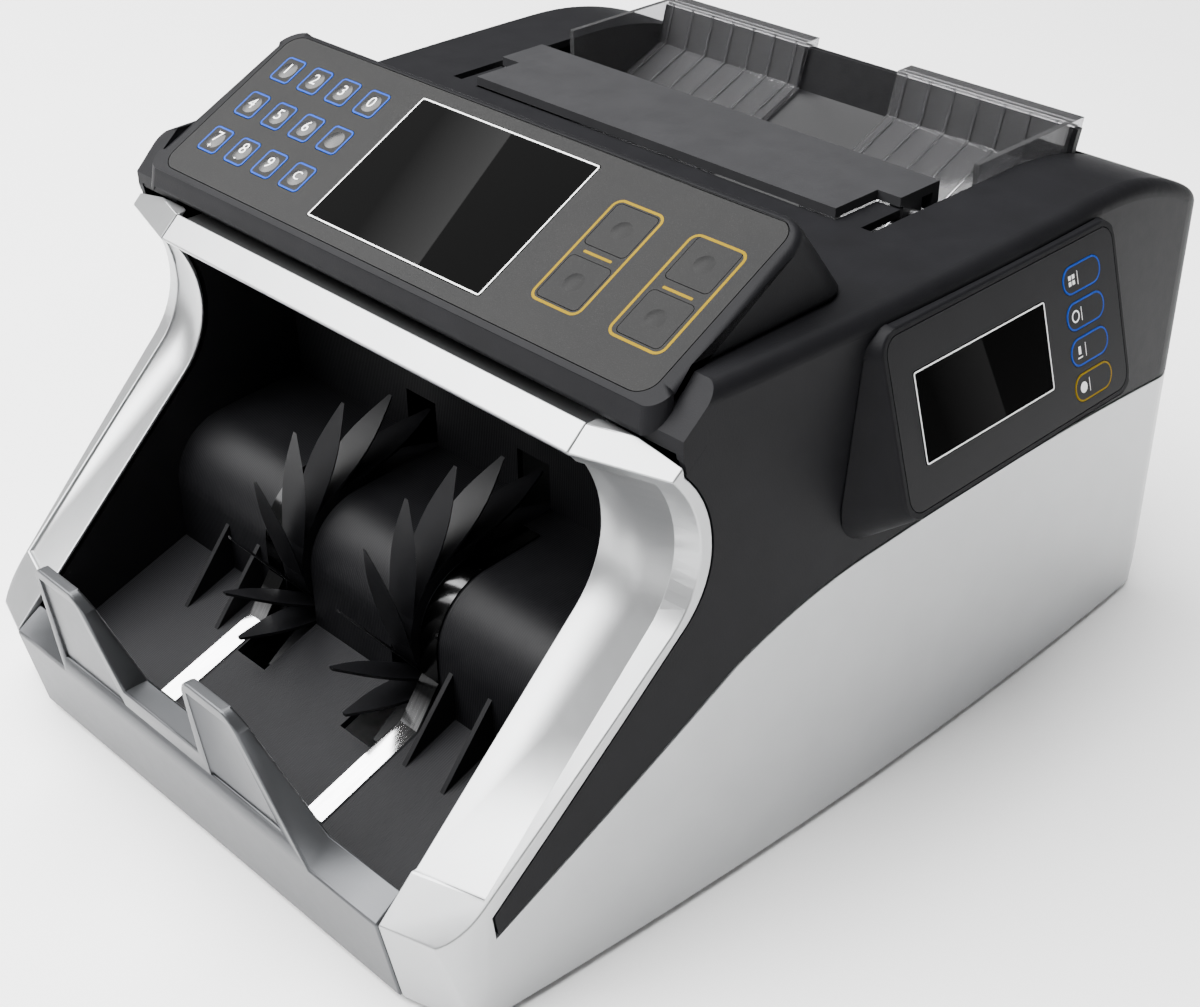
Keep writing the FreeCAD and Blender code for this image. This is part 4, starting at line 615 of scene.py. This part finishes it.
def rounded(node, radius, slot, mat):
    """A copy of a solid piece with its outer edges rounded, by a radius in millimetres."""
    bm = merged_copy(node)
    if node in reshaped:
        reshaped[node](bm)
    weight = bm.edges.layers.float.new("bevel_weight_edge")
    for edge in bm.edges:
        edge[weight] = 1.0 if can_round(edge, radius * MM) else 0.0
    obj = finish_piece(node + "_rounded", bm, nodes[node]["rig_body"], slot, mat)
    bevel = obj.modifiers.new("edge_round", "BEVEL")
    bevel.width = radius * MM
    bevel.segments = ROUND_STEPS
    bevel.limit_method = "WEIGHT"
    bevel.use_clamp_overlap = False
    bevel.harden_normals = True
    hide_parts(node)
    return obj


for node, radius, slot, mat in (
    ("console_housing", 2.2, "black_shell", charcoal),
    ("pod_housing", 0.6, "black_shell", charcoal),
    ("front_bumper", 0.8, "silver", silver_painted_shade),
    ("front_strip", 0.6, "silver", silver),
    ("right_side_shell", 0.5, "silver", silver),
    ("left_side_shell", 0.5, "silver", silver),
    ("rear_panel", 0.4, "sheet_steel", panel_paint),
    ("power_inlet", 0.4, "inlet_black", inlet_black),
    ("power_rocker", 0.5, "inlet_black", inlet_black),
    ("rubber_feet", 0.8, "rubber", foot_rubber),
):
    made = rounded(node, radius, slot, mat)
    print(made.name, len(made.data.polygons))

# %% [markdown]
# The long round between the top of the shell and its side carries the softest highlight of the machine. It
# is laid over the solid as a fine strip: nearly a quarter circle of points, extruded again and again along
# the bowed side. It stands a hair proud of the solid, so that the coarser round below never shows through.

# %% Shoulder rounds
HALF_WIDTH, SIDE_BOW_R, SIDE_BOW_Y = 126.0, 1900.0, 50.0
SHOULDER_R, SHOULDER_Z = 5.0, 164.0
SHOULDER_FRONT, SHOULDER_BACK, SHOULDER_STEPS = -69.5, 91.5, 46
FIRST_TURN, LAST_TURN, ARC_STEPS = 6.0, 90.0, 10
PROUD, STRIP_T = 0.015, 0.4


def side_x(y):
    """Half width of the shell's side at a depth, in millimetres."""
    return HALF_WIDTH - SIDE_BOW_R + math.sqrt(SIDE_BOW_R ** 2 - (y - SIDE_BOW_Y) ** 2)


def shoulder(bm, side):
    """The strip of one side: an arc of points, extruded step by step towards the back."""
    arc = []
    r = SHOULDER_R + PROUD
    for i in range(ARC_STEPS + 1):
        turn = math.radians(FIRST_TURN + (LAST_TURN - FIRST_TURN) * i / ARC_STEPS)
        x = side_x(SHOULDER_FRONT) - SHOULDER_R + r * math.cos(turn)
        arc.append(bm.verts.new(spot(side * x, SHOULDER_FRONT, SHOULDER_Z + r * math.sin(turn))))
    line = [bm.edges.new(pair) for pair in zip(arc, arc[1:])]
    stride = (SHOULDER_BACK - SHOULDER_FRONT) / SHOULDER_STEPS
    for i in range(SHOULDER_STEPS):
        y = SHOULDER_FRONT + stride * i
        grown = bmesh.ops.extrude_edge_only(bm, edges=line)["geom"]
        line = [g for g in grown if isinstance(g, bmesh.types.BMEdge) and all(v in grown for v in g.verts)]
        shift = side * (side_x(y + stride) - side_x(y))
        bmesh.ops.translate(bm, vec=(shift * MM, stride * MM, 0), verts=points_in(grown))


bm = bmesh.new()
for side in (-1, 1):
    shoulder(bm, side)
face_up(bm.faces)
bmesh.ops.solidify(bm, geom=bm.faces[:], thickness=STRIP_T * MM)
bmesh.ops.recalc_face_normals(bm, faces=bm.faces)
obj = finish_piece("shoulder_rounds", bm, "body", "black_shell", charcoal)
print(obj.name, len(obj.data.polygons))

# %% [markdown]
# Under each front corner of the console the shell turns in to a small lip that closes the gap above the
# cheek. A lip is a cube stretched to its place, with its outer face drawn to the curve of the shell's side.
# A thin slab below it, flush with the same curve, carries the corner down to the cheek.

# %% Shell lips
LIP_INNER, LIP_FRONT, LIP_BACK, LIP_LOW, LIP_HIGH = 100.0, -82.4, -74.8, 152.9, 157.3
LIP_SINK, LIP_SLAB_T = 0.02, 2.0
# Corners of the slab, as y and z.
lip_slab = [(-82.45, 153.3), (-82.0, 150.5), (-81.4, 147.6), (-79.6, 147.6), (-74.9, 152.6), (-74.9, 153.3)]

bm = bmesh.new()
for side in (-1, 1):
    for vert in bmesh.ops.create_cube(bm, size=1.0)["verts"]:
        y = LIP_BACK if vert.co.y > 0 else LIP_FRONT
        x = side_x(y) - LIP_SINK if vert.co.x > 0 else LIP_INNER
        vert.co = spot(side * x, y, LIP_HIGH if vert.co.z > 0 else LIP_LOW)
    slab(bm, [spot(side * (side_x(y) - LIP_SINK), y, z) for y, z in lip_slab], -side * LIP_SLAB_T)
bmesh.ops.recalc_face_normals(bm, faces=bm.faces)
obj = finish_piece("shell_lips", bm, "body", "black_shell", charcoal)
print(obj.name, len(obj.data.polygons))

# %% [markdown]
# The clear guides are stiffened by thin ribs that run up their floor and on up their wall. One rib is a
# bent strip: six points in the plane of the slope, made a face and extruded sideways. Each guide has seven
# of them, and they ride on the guide, so they slide with it.

# %% Guide ribs
RIB_COUNT, RIB_FIRST, RIB_LAST, RIB_WIDTH = 7, 24.0, 84.0, 0.9
# Lower and upper edge of a rib, as y and z.
rib_low = [(79.2, 140.7), (123.39, 158.71), (127.7, 173.1)]
rib_high = [(127.22, 173.24), (122.98, 159.08), (79.01, 141.16)]

for side, body in ((1, "guide_right"), (-1, "guide_left")):
    bm = bmesh.new()
    for i in range(RIB_COUNT):
        x = RIB_FIRST + (RIB_LAST - RIB_FIRST) * i / (RIB_COUNT - 1)
        slab(bm, [spot(side * x, y, z) for y, z in rib_low + rib_high], side * RIB_WIDTH)
    bmesh.ops.recalc_face_normals(bm, faces=bm.faces)
    obj = finish_piece(body + "_ribs", bm, body, "clear_smoke", smoke)
    print(obj.name, len(obj.data.polygons))

# %% [markdown]
# The fingers of a stacker wheel are soft leaves: they leave the hub along its tangent, widen towards their
# middle and end in a point, and all lean the same way, so that a note slides in between two of them and is
# carried round. One leaf starts as a flat grid. Its rows are set along the tangent, their width follows the
# outline of the leaf, and solidify gives the thickness. Turned leaves round a hub make one wheel, and a
# duplicate makes the other.

# %% Stacker wheels
WHEEL_X, WHEEL_Y, WHEEL_Z = 26.5, -80.0, 60.0
HUB_R, HUB_W, HUB_SEGMENTS = 23.0, 11.0, 48
TIP_R, LEAF_T, LEAF_SINK, LEAVES = 48.2, 1.0, 0.5, 16
FIRST_LEAF = 0.35  # in steps from one leaf to the next
# Half the width of a leaf, row by row from its root to its tip.
leaf_half = [4.6, 5.2, 5.7, 5.9, 6.0, 5.7, 5.0, 3.8, 2.3, 0.7]
leaf_rows = len(leaf_half) - 1
leaf_length = math.sqrt(TIP_R ** 2 - HUB_R ** 2)


def leaf(bm, start):
    """One finger of a wheel that turns about the X axis at the local origin."""
    out = Vector((0, -math.cos(start), math.sin(start)))
    along = Vector((0, math.sin(start), math.cos(start)))
    grid = bmesh.ops.create_grid(bm, x_segments=2, y_segments=leaf_rows, size=0.5)["verts"]
    for vert in grid:
        row = round((vert.co.y + 0.5) * leaf_rows)
        share = row / leaf_rows
        x = vert.co.x * 2 * leaf_half[row]
        vert.co = (Vector((x, 0, 0)) + out * (HUB_R - LEAF_SINK) + along * leaf_length * share) * MM
    faces = list(dict.fromkeys(f for v in grid for f in v.link_faces))
    bmesh.ops.solidify(bm, geom=faces, thickness=LEAF_T * MM)


bm = bmesh.new()
hub = bmesh.ops.create_cone(
    bm, cap_ends=True, segments=HUB_SEGMENTS, radius1=HUB_R * MM, radius2=HUB_R * MM, depth=HUB_W * MM)
bmesh.ops.rotate(bm, verts=hub["verts"], matrix=Matrix.Rotation(math.pi / 2, 3, "Y"))
for i in range(LEAVES):
    leaf(bm, 2 * math.pi * (i + FIRST_LEAF) / LEAVES)
bmesh.ops.recalc_face_normals(bm, faces=bm.faces)
wheel = bm.verts[:] + bm.edges[:] + bm.faces[:]
twin = bmesh.ops.duplicate(bm, geom=wheel)["geom"]
for side, geom in ((-1, wheel), (1, twin)):
    bmesh.ops.translate(bm, vec=spot(side * WHEEL_X, WHEEL_Y, WHEEL_Z), verts=points_in(geom))
wheel_body = nodes["stacker_wheels"]["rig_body"]
obj = finish_piece("stacker_wheels_leaves", bm, wheel_body, "wheel_plastic", wheel_grey)
obj.data.polygons.foreach_set("use_smooth", [False] * len(obj.data.polygons))
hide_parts("stacker_wheels")
print(obj.name, len(obj.data.polygons))

# %% [markdown]
# ## Keys
# Each key is a film pad, and most have a printed outline. A pad starts as one square face. Bevelling its
# four corner vertices rounds it, an inset leaves the outline as a ring of its own, and a short skirt hides
# its lower edge.

# %% A key pad
PAD_TOP, PAD_SKIRT, PAD_CORNER_STEPS = 0.12, 0.3, 6
OUTLINE_SLOT, FIELD_SLOT = 0, 1


def rounded_face(bm, w, h, r, level):
    """One flat face with round corners, in millimetres, centred on the local origin."""
    square = bmesh.ops.create_grid(bm, x_segments=1, y_segments=1, size=0.5)["verts"]
    bmesh.ops.scale(bm, vec=(w * MM, h * MM, 1), verts=square)
    bmesh.ops.translate(bm, vec=(0, 0, level * MM), verts=square)
    bmesh.ops.bevel(
        bm, geom=square, offset=r * MM, offset_type="OFFSET", segments=PAD_CORNER_STEPS, profile=0.5,
        affect="VERTICES", material=-1, clamp_overlap=True)
    face_up(bm.faces)
    return bm.faces[:][0]


def ring_in(bm, face, width, rise=0.0):
    """Insets one face and returns the ring around it; the face itself becomes the middle."""
    made = bmesh.ops.inset_individual(bm, faces=[face], thickness=width * MM, depth=rise * MM)
    return made["faces"]


def skirt(bm, depth):
    """Drops a wall from the open edges of a piece, by millimetres."""
    rim = [e for e in bm.edges if e.is_boundary]
    grown = bmesh.ops.extrude_edge_only(bm, edges=rim)["geom"]
    bmesh.ops.translate(bm, vec=(0, 0, -depth * MM), verts=points_in(grown))


def pad(w, h, r, line, top=PAD_TOP):
    """A pad with an outline ring round a field, each with a material of its own."""
    bm = bmesh.new()
    face = rounded_face(bm, w, h, r, top)
    for rim in ring_in(bm, face, line):
        rim.material_index = OUTLINE_SLOT
    face.material_index = FIELD_SLOT
    skirt(bm, PAD_SKIRT)
    return bm


print("key pad ready")

# %% [markdown]
# A key that can be felt has a low dome in its middle. It is a round face that is inset a few times, each
# time rising a little less, so the rings follow a quarter of a sine. A digit is drawn as text, made a mesh
# and laid on top, because a mesh can be moved with the key and exported.

# %% A dome and a printed mark
DOME_STEPS, DOME_SEGMENTS = 5, 32
DOME_SHARE = 0.85  # of the radius that the rings take up
MARK_CURVE_STEPS = 4


def round_face(bm, r, u, v, level, segments, slot):
    """One flat round face on a piece, in millimetres."""
    circle = bmesh.ops.create_circle(bm, cap_ends=True, segments=segments, radius=r * MM)["verts"]
    bmesh.ops.translate(bm, vec=(u * MM, v * MM, level * MM), verts=circle)
    face = circle[0].link_faces[0]
    face_up([face])
    face.material_index = slot
    return face


def dome(bm, r, rise, level, slot):
    """A low round dome, made of rings that each rise less than the one before."""
    face = round_face(bm, r, 0, 0, level, DOME_SEGMENTS, slot)
    before = 0.0
    for i in range(1, DOME_STEPS + 1):
        now = rise * math.sin(0.5 * math.pi * i / DOME_STEPS)
        for band in ring_in(bm, face, DOME_SHARE * r / DOME_STEPS, now - before):
            band.material_index = slot
        before = now


def mark(bm, text, size, u, v, level, slot):
    """A printed mark, drawn as text, made a mesh and laid on the pad."""
    curve = bpy.data.curves.new("mark", "FONT")
    curve.body = text
    curve.size = size * MM
    curve.align_x = "CENTER"
    curve.align_y = "CENTER"
    curve.resolution_u = MARK_CURVE_STEPS
    holder = bpy.data.objects.new("mark", curve)
    bpy.context.scene.collection.objects.link(holder)
    bpy.context.view_layer.update()
    flat = bpy.data.meshes.new_from_object(holder)
    bpy.data.objects.remove(holder)
    bpy.data.curves.remove(curve)
    flat.transform(Matrix.Translation((u * MM, v * MM, level * MM)))
    first = len(bm.faces)
    bm.from_mesh(flat)
    bm.faces.ensure_lookup_table()
    for face in bm.faces[first:]:
        face.material_index = slot
    bpy.data.meshes.remove(flat)


print("dome and mark ready")

# %% [markdown]
# The twelve small keys stand in three rows of four. Each has a blue outline and a glossy dome, most carry a
# white digit on it, and two of them have a sign below the digit. One loop makes them all, and each pad rides
# on the cap that it belongs to, so it goes down when the key is pressed.

# %% Number keys
KEY_W, KEY_H, KEY_R, KEY_LINE = 9.4, 10.4, 1.6, 0.6
KEY_DOME_R, KEY_DOME_RISE, KEY_DOME_LEVEL = 3.4, 0.32, 0.13
KEY_U0, KEY_STEP_U = -95.8, 14.2
KEY_V0, KEY_STEP_V = 50.9, 16.6
DIGIT_SIZE, LETTER_SIZE, SIGN_SIZE = 6.0, 4.6, 3.4
DIGIT_V, RAISED_DIGIT_V, SIGN_V = 0.2, 1.0, -2.9
MARK_LEVEL = 0.455  # just over the top of the dome
DOME_SLOT, MARK_SLOT = 2, 3
key_rows = [
    [("key_1", "1", ""), ("key_2", "2", ""), ("key_3", "3", ""), ("key_0", "0", "")],
    [("key_4", "4", ""), ("key_5", "5", ""), ("key_6", "6", ""), ("key_mode", "", "")],
    [("key_7", "7", "+"), ("key_8", "8", "-"), ("key_9", "9", ""), ("key_clear", "C", "")],
]
for row, keys in enumerate(key_rows):
    for col, (name, digit, sign) in enumerate(keys):
        bm = pad(KEY_W, KEY_H, KEY_R, KEY_LINE)
        dome(bm, KEY_DOME_R, KEY_DOME_RISE, KEY_DOME_LEVEL, DOME_SLOT)
        if digit:
            size = LETTER_SIZE if digit == "C" else DIGIT_SIZE
            mark(bm, digit, size, 0, RAISED_DIGIT_V if sign else DIGIT_V, MARK_LEVEL, MARK_SLOT)
        if sign:
            mark(bm, sign, SIGN_SIZE, 0, SIGN_V, MARK_LEVEL, MARK_SLOT)
        place = on_face(on_console, KEY_U0 + col * KEY_STEP_U, KEY_V0 - row * KEY_STEP_V)
        bmesh.ops.transform(bm, matrix=place, verts=bm.verts)
        obj = finish_piece(
            name + "_pad", bm, name + "_cap", "key_film", blue_ink, film, dome_clear, white_ink)
        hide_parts(name)
print("number keys", sum(len(keys) for keys in key_rows))

# %% [markdown]
# The four function keys have no outline of their own, because a printed frame goes round each pair. So the
# pad is film to its very edge, flush with the overlay, with a small dome in its middle.

# %% Function keys
FN_SIDE, FN_R, FN_LINE, FN_TOP = 15.5, 1.6, 0.2, 0.02
FN_DOME_R, FN_DOME_RISE = 3.2, 0.34
FN_U = (62.1, 92.2)
FN_V = (43.4, 23.4)
for i, u in enumerate(FN_U):
    for j, v in enumerate(FN_V):
        name = "key_fn_%d" % (len(FN_V) * i + j + 1)
        bm = pad(FN_SIDE, FN_SIDE, FN_R, FN_LINE, top=FN_TOP)
        dome(bm, FN_DOME_R, FN_DOME_RISE, FN_TOP, FIELD_SLOT)
        bmesh.ops.transform(bm, matrix=on_face(on_console, u, v), verts=bm.verts)
        obj = finish_piece(name + "_pad", bm, name + "_cap", "key_film", film, film)
        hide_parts(name)
print("function keys", len(FN_U) * len(FN_V))

# %% [markdown]
# Ink lies on the film in thin lines. A frame is a round-cornered face with an inset, whose middle is
# deleted, and a skirt takes it down to the film. Each pair of function keys has a yellow frame with a short
# bar in its middle, and both screens have a thin white line round the glass.

# %% Printed frames
INK_LEVEL = 0.03
PAIR_R, PAIR_LINE, PAIR_BAR = 3.2, 0.85, 10.6
BAR_ROUND = 0.45  # of the bar's height
SCREEN_R, SCREEN_LIFT = 0.9, 0.1


def outline_frame(name, place, w, h, r, line, mat, slot):
    """A printed frame: a round-cornered ring, a little proud of the film."""
    bm = bmesh.new()
    face = rounded_face(bm, w, h, r, INK_LEVEL)
    ring_in(bm, face, line)
    bmesh.ops.delete(bm, geom=[face], context="FACES")
    skirt(bm, INK_LEVEL)
    bmesh.ops.recalc_face_normals(bm, faces=bm.faces)
    bmesh.ops.transform(bm, matrix=place, verts=bm.verts)
    finish_piece(name, bm, "body", slot, mat)


def printed_bar(name, place, w, h, mat, slot):
    """A short printed line with round ends."""
    bm = bmesh.new()
    rounded_face(bm, w, h, h * BAR_ROUND, INK_LEVEL)
    skirt(bm, INK_LEVEL)
    bmesh.ops.transform(bm, matrix=place, verts=bm.verts)
    finish_piece(name, bm, "body", slot, mat)


for name, u0, u1, v0, v1 in (
    ("left_pair", 52.6, 71.5, 14.0, 52.7),
    ("right_pair", 82.0, 102.0, 13.9, 51.7),
):
    place = on_face(on_console, (u0 + u1) / 2, (v0 + v1) / 2)
    outline_frame(name + "_frame", place, u1 - u0, v1 - v0, PAIR_R, PAIR_LINE, yellow_ink, "key_film")
    printed_bar(name + "_bar", place, PAIR_BAR, PAIR_LINE, yellow_ink, "key_film")
for name, face, u, v, w, h, line in (
    ("main_screen_line", on_console, 1.0, 33.8, 76.6, 52.0, 0.5),
    ("pod_screen_line", on_pod, -13.8, -0.2, 60.4, 26.8, 0.45),
):
    outline_frame(name, on_face(face, u, v, SCREEN_LIFT), w, h, SCREEN_R, line, white_ink, "screen")
print("frames and lines printed")

# %% [markdown]
# The side keys are long pills: three outlined in blue and one in yellow. Each has a short upright line and
# a plain sign beside it, put together from flat rectangles and discs that lie just over the pad.

# %% Side keys
SIDE_W, SIDE_H, SIDE_R, SIDE_LINE = 19.0, 8.6, 4.2, 0.55
SIDE_U, SIDE_V0, SIDE_STEP = 35.8, 14.9, 11.0
UPRIGHT_W, UPRIGHT_H, UPRIGHT_U = 0.25, 4.2, -2.2
SIGN_U, SIGN_LEVEL, SIGN_SEGMENTS, SIGN_SLOT = -5.2, 0.14, 24, 2
SQUARE, SQUARE_OFF = 1.3, 0.9
RING_R, RING_HOLE_R, DOT_R = 1.9, 1.4, 1.7
POST_W, POST_H, POST_V = 1.2, 2.4, 0.5
BASE_W, BASE_H, BASE_V = 2.4, 0.4, -1.7


def block(bm, w, h, u, v):
    """A flat printed rectangle."""
    square = bmesh.ops.create_grid(bm, x_segments=1, y_segments=1, size=0.5)["verts"]
    bmesh.ops.scale(bm, vec=(w * MM, h * MM, 1), verts=square)
    bmesh.ops.translate(bm, vec=(u * MM, v * MM, SIGN_LEVEL * MM), verts=square)
    square[0].link_faces[0].material_index = SIGN_SLOT


def squares(bm):
    """Four small squares."""
    for v in (SQUARE_OFF, -SQUARE_OFF):
        for u in (SIGN_U - SQUARE_OFF, SIGN_U + SQUARE_OFF):
            block(bm, SQUARE, SQUARE, u, v)


def ring(bm):
    """An open ring."""
    face = round_face(bm, RING_R, SIGN_U, 0, SIGN_LEVEL, SIGN_SEGMENTS, SIGN_SLOT)
    for band in ring_in(bm, face, RING_R - RING_HOLE_R):
        band.material_index = SIGN_SLOT
    bmesh.ops.delete(bm, geom=[face], context="FACES_ONLY")


def stand(bm):
    """A post on a base line."""
    block(bm, POST_W, POST_H, SIGN_U, POST_V)
    block(bm, BASE_W, BASE_H, SIGN_U, BASE_V)


def dot(bm):
    """A full disc."""
    round_face(bm, DOT_R, SIGN_U, 0, SIGN_LEVEL, SIGN_SEGMENTS, SIGN_SLOT)


side_keys = [(squares, blue_ink), (ring, blue_ink), (stand, blue_ink), (dot, yellow_ink)]
for i, (sign, ink) in enumerate(side_keys):
    name = "side_key_%d" % (i + 1)
    bm = pad(SIDE_W, SIDE_H, SIDE_R, SIDE_LINE)
    block(bm, UPRIGHT_W, UPRIGHT_H, UPRIGHT_U, 0)
    sign(bm)
    place = on_face(on_pod, SIDE_U, SIDE_V0 - i * SIDE_STEP)
    bmesh.ops.transform(bm, matrix=place, verts=bm.verts)
    obj = finish_piece(name + "_pad", bm, name + "_cap", "key_film", ink, pod_film, white_ink)
    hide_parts(name)
print("side keys", len(side_keys))

# %% [markdown]
# ## Floor, light and camera
# The machine stands on a plain pale floor, which is one large face. It only sets the stage and doesn't
# count as a piece of the object.

# %% Floor
FLOOR_HALF = 6.0

floor_mat = moulded(
    "pale_floor", (0.93, 0.93, 0.93), (0.95, 0.95, 0.95), rough=(0.6, 0.7), grain=60, depth=0.1, patch=3.0)
bm = bmesh.new()
bmesh.ops.create_grid(bm, x_segments=1, y_segments=1, size=FLOOR_HALF)
floor_mesh = bpy.data.meshes.new("floor")
bm.to_mesh(floor_mesh)
bm.free()
floor_mesh.materials.append(floor_mat)
floor = bpy.data.objects.new("floor", floor_mesh)
bpy.context.scene.collection.objects.link(floor)
print("floor", floor.name)

# %% [markdown]
# Most of the light comes from one wide softbox above, as in a product studio, so the top faces and the
# cheeks are bright and the front below the mouth lies in shade. A smaller one at the front opens up the
# shadows, a faint one on the right draws the edges of the pod, and a weak white world fills in the rest.

# %% Lights
WORLD_STRENGTH = 0.24

world = bpy.data.worlds.new("studio")
bpy.context.scene.world = world
world.use_nodes = True
set_inputs(world.node_tree.nodes["Background"], Color=(1, 1, 1, 1), Strength=WORLD_STRENGTH)


def softbox(name, place, aim, size, power):
    """A wide area light that looks at a point, in metres and watts."""
    light = bpy.data.lights.new(name, "AREA")
    light.shape = "RECTANGLE"
    light.size, light.size_y = size
    light.energy = power
    obj = bpy.data.objects.new(name, light)
    bpy.context.scene.collection.objects.link(obj)
    obj.location = place
    obj.rotation_euler = (Vector(aim) - Vector(place)).to_track_quat("-Z", "Y").to_euler()


softbox("top_light", place=(-0.5, -0.4, 1.75), aim=(0, 0, 0.1), size=(2.4, 2.4), power=220)
softbox("right_light", place=(1.6, 0.3, 0.9), aim=(0, 0, 0.1), size=(1.2, 1.0), power=2)
softbox("front_light", place=(-1.0, -1.1, 1.2), aim=(0, -0.05, 0.1), size=(1.6, 1.0), power=30)

# %% [markdown]
# The camera stands where the photograph was taken from. Its place, turn and lens were solved from the
# machine's own straight edges. The axes of the camera come from an azimuth, an elevation and a small roll,
# and the shift of the lens puts the centre of the picture where it was.

# %% Camera
PHOTO_W, PHOTO_H = 1200, 1007
FOCAL_PX = 1866.788
CENTRE_PX = (627.143, 499.521)
SENSOR_W = 36.0
CAMERA_AT = (389.25, -367.91, 388.75)
NEAREST = 0.01

az = math.radians(45.227)
el = math.radians(32.349)
roll = math.radians(-0.166)
back = Vector((math.sin(az) * math.cos(el), -math.cos(az) * math.cos(el), math.sin(el)))
right = (-back).cross(Vector((0, 0, 1))).normalized()
down = (-back).cross(right)
cam_x = math.cos(roll) * right - math.sin(roll) * down
cam_y = -(math.sin(roll) * right + math.cos(roll) * down)
lens = bpy.data.cameras.new("photo_camera")
lens.sensor_width = SENSOR_W
lens.lens = FOCAL_PX * SENSOR_W / PHOTO_W
lens.shift_x = (PHOTO_W / 2 - CENTRE_PX[0]) / PHOTO_W
lens.shift_y = (CENTRE_PX[1] - PHOTO_H / 2) / PHOTO_W
lens.clip_start = NEAREST
camera = bpy.data.objects.new("photo_camera", lens)
bpy.context.scene.collection.objects.link(camera)
turn = Matrix((cam_x, cam_y, back)).transposed().to_4x4()
camera.matrix_world = Matrix.Translation(spot(*CAMERA_AT)) @ turn
bpy.context.scene.camera = camera
print("lens", round(lens.lens, 2))
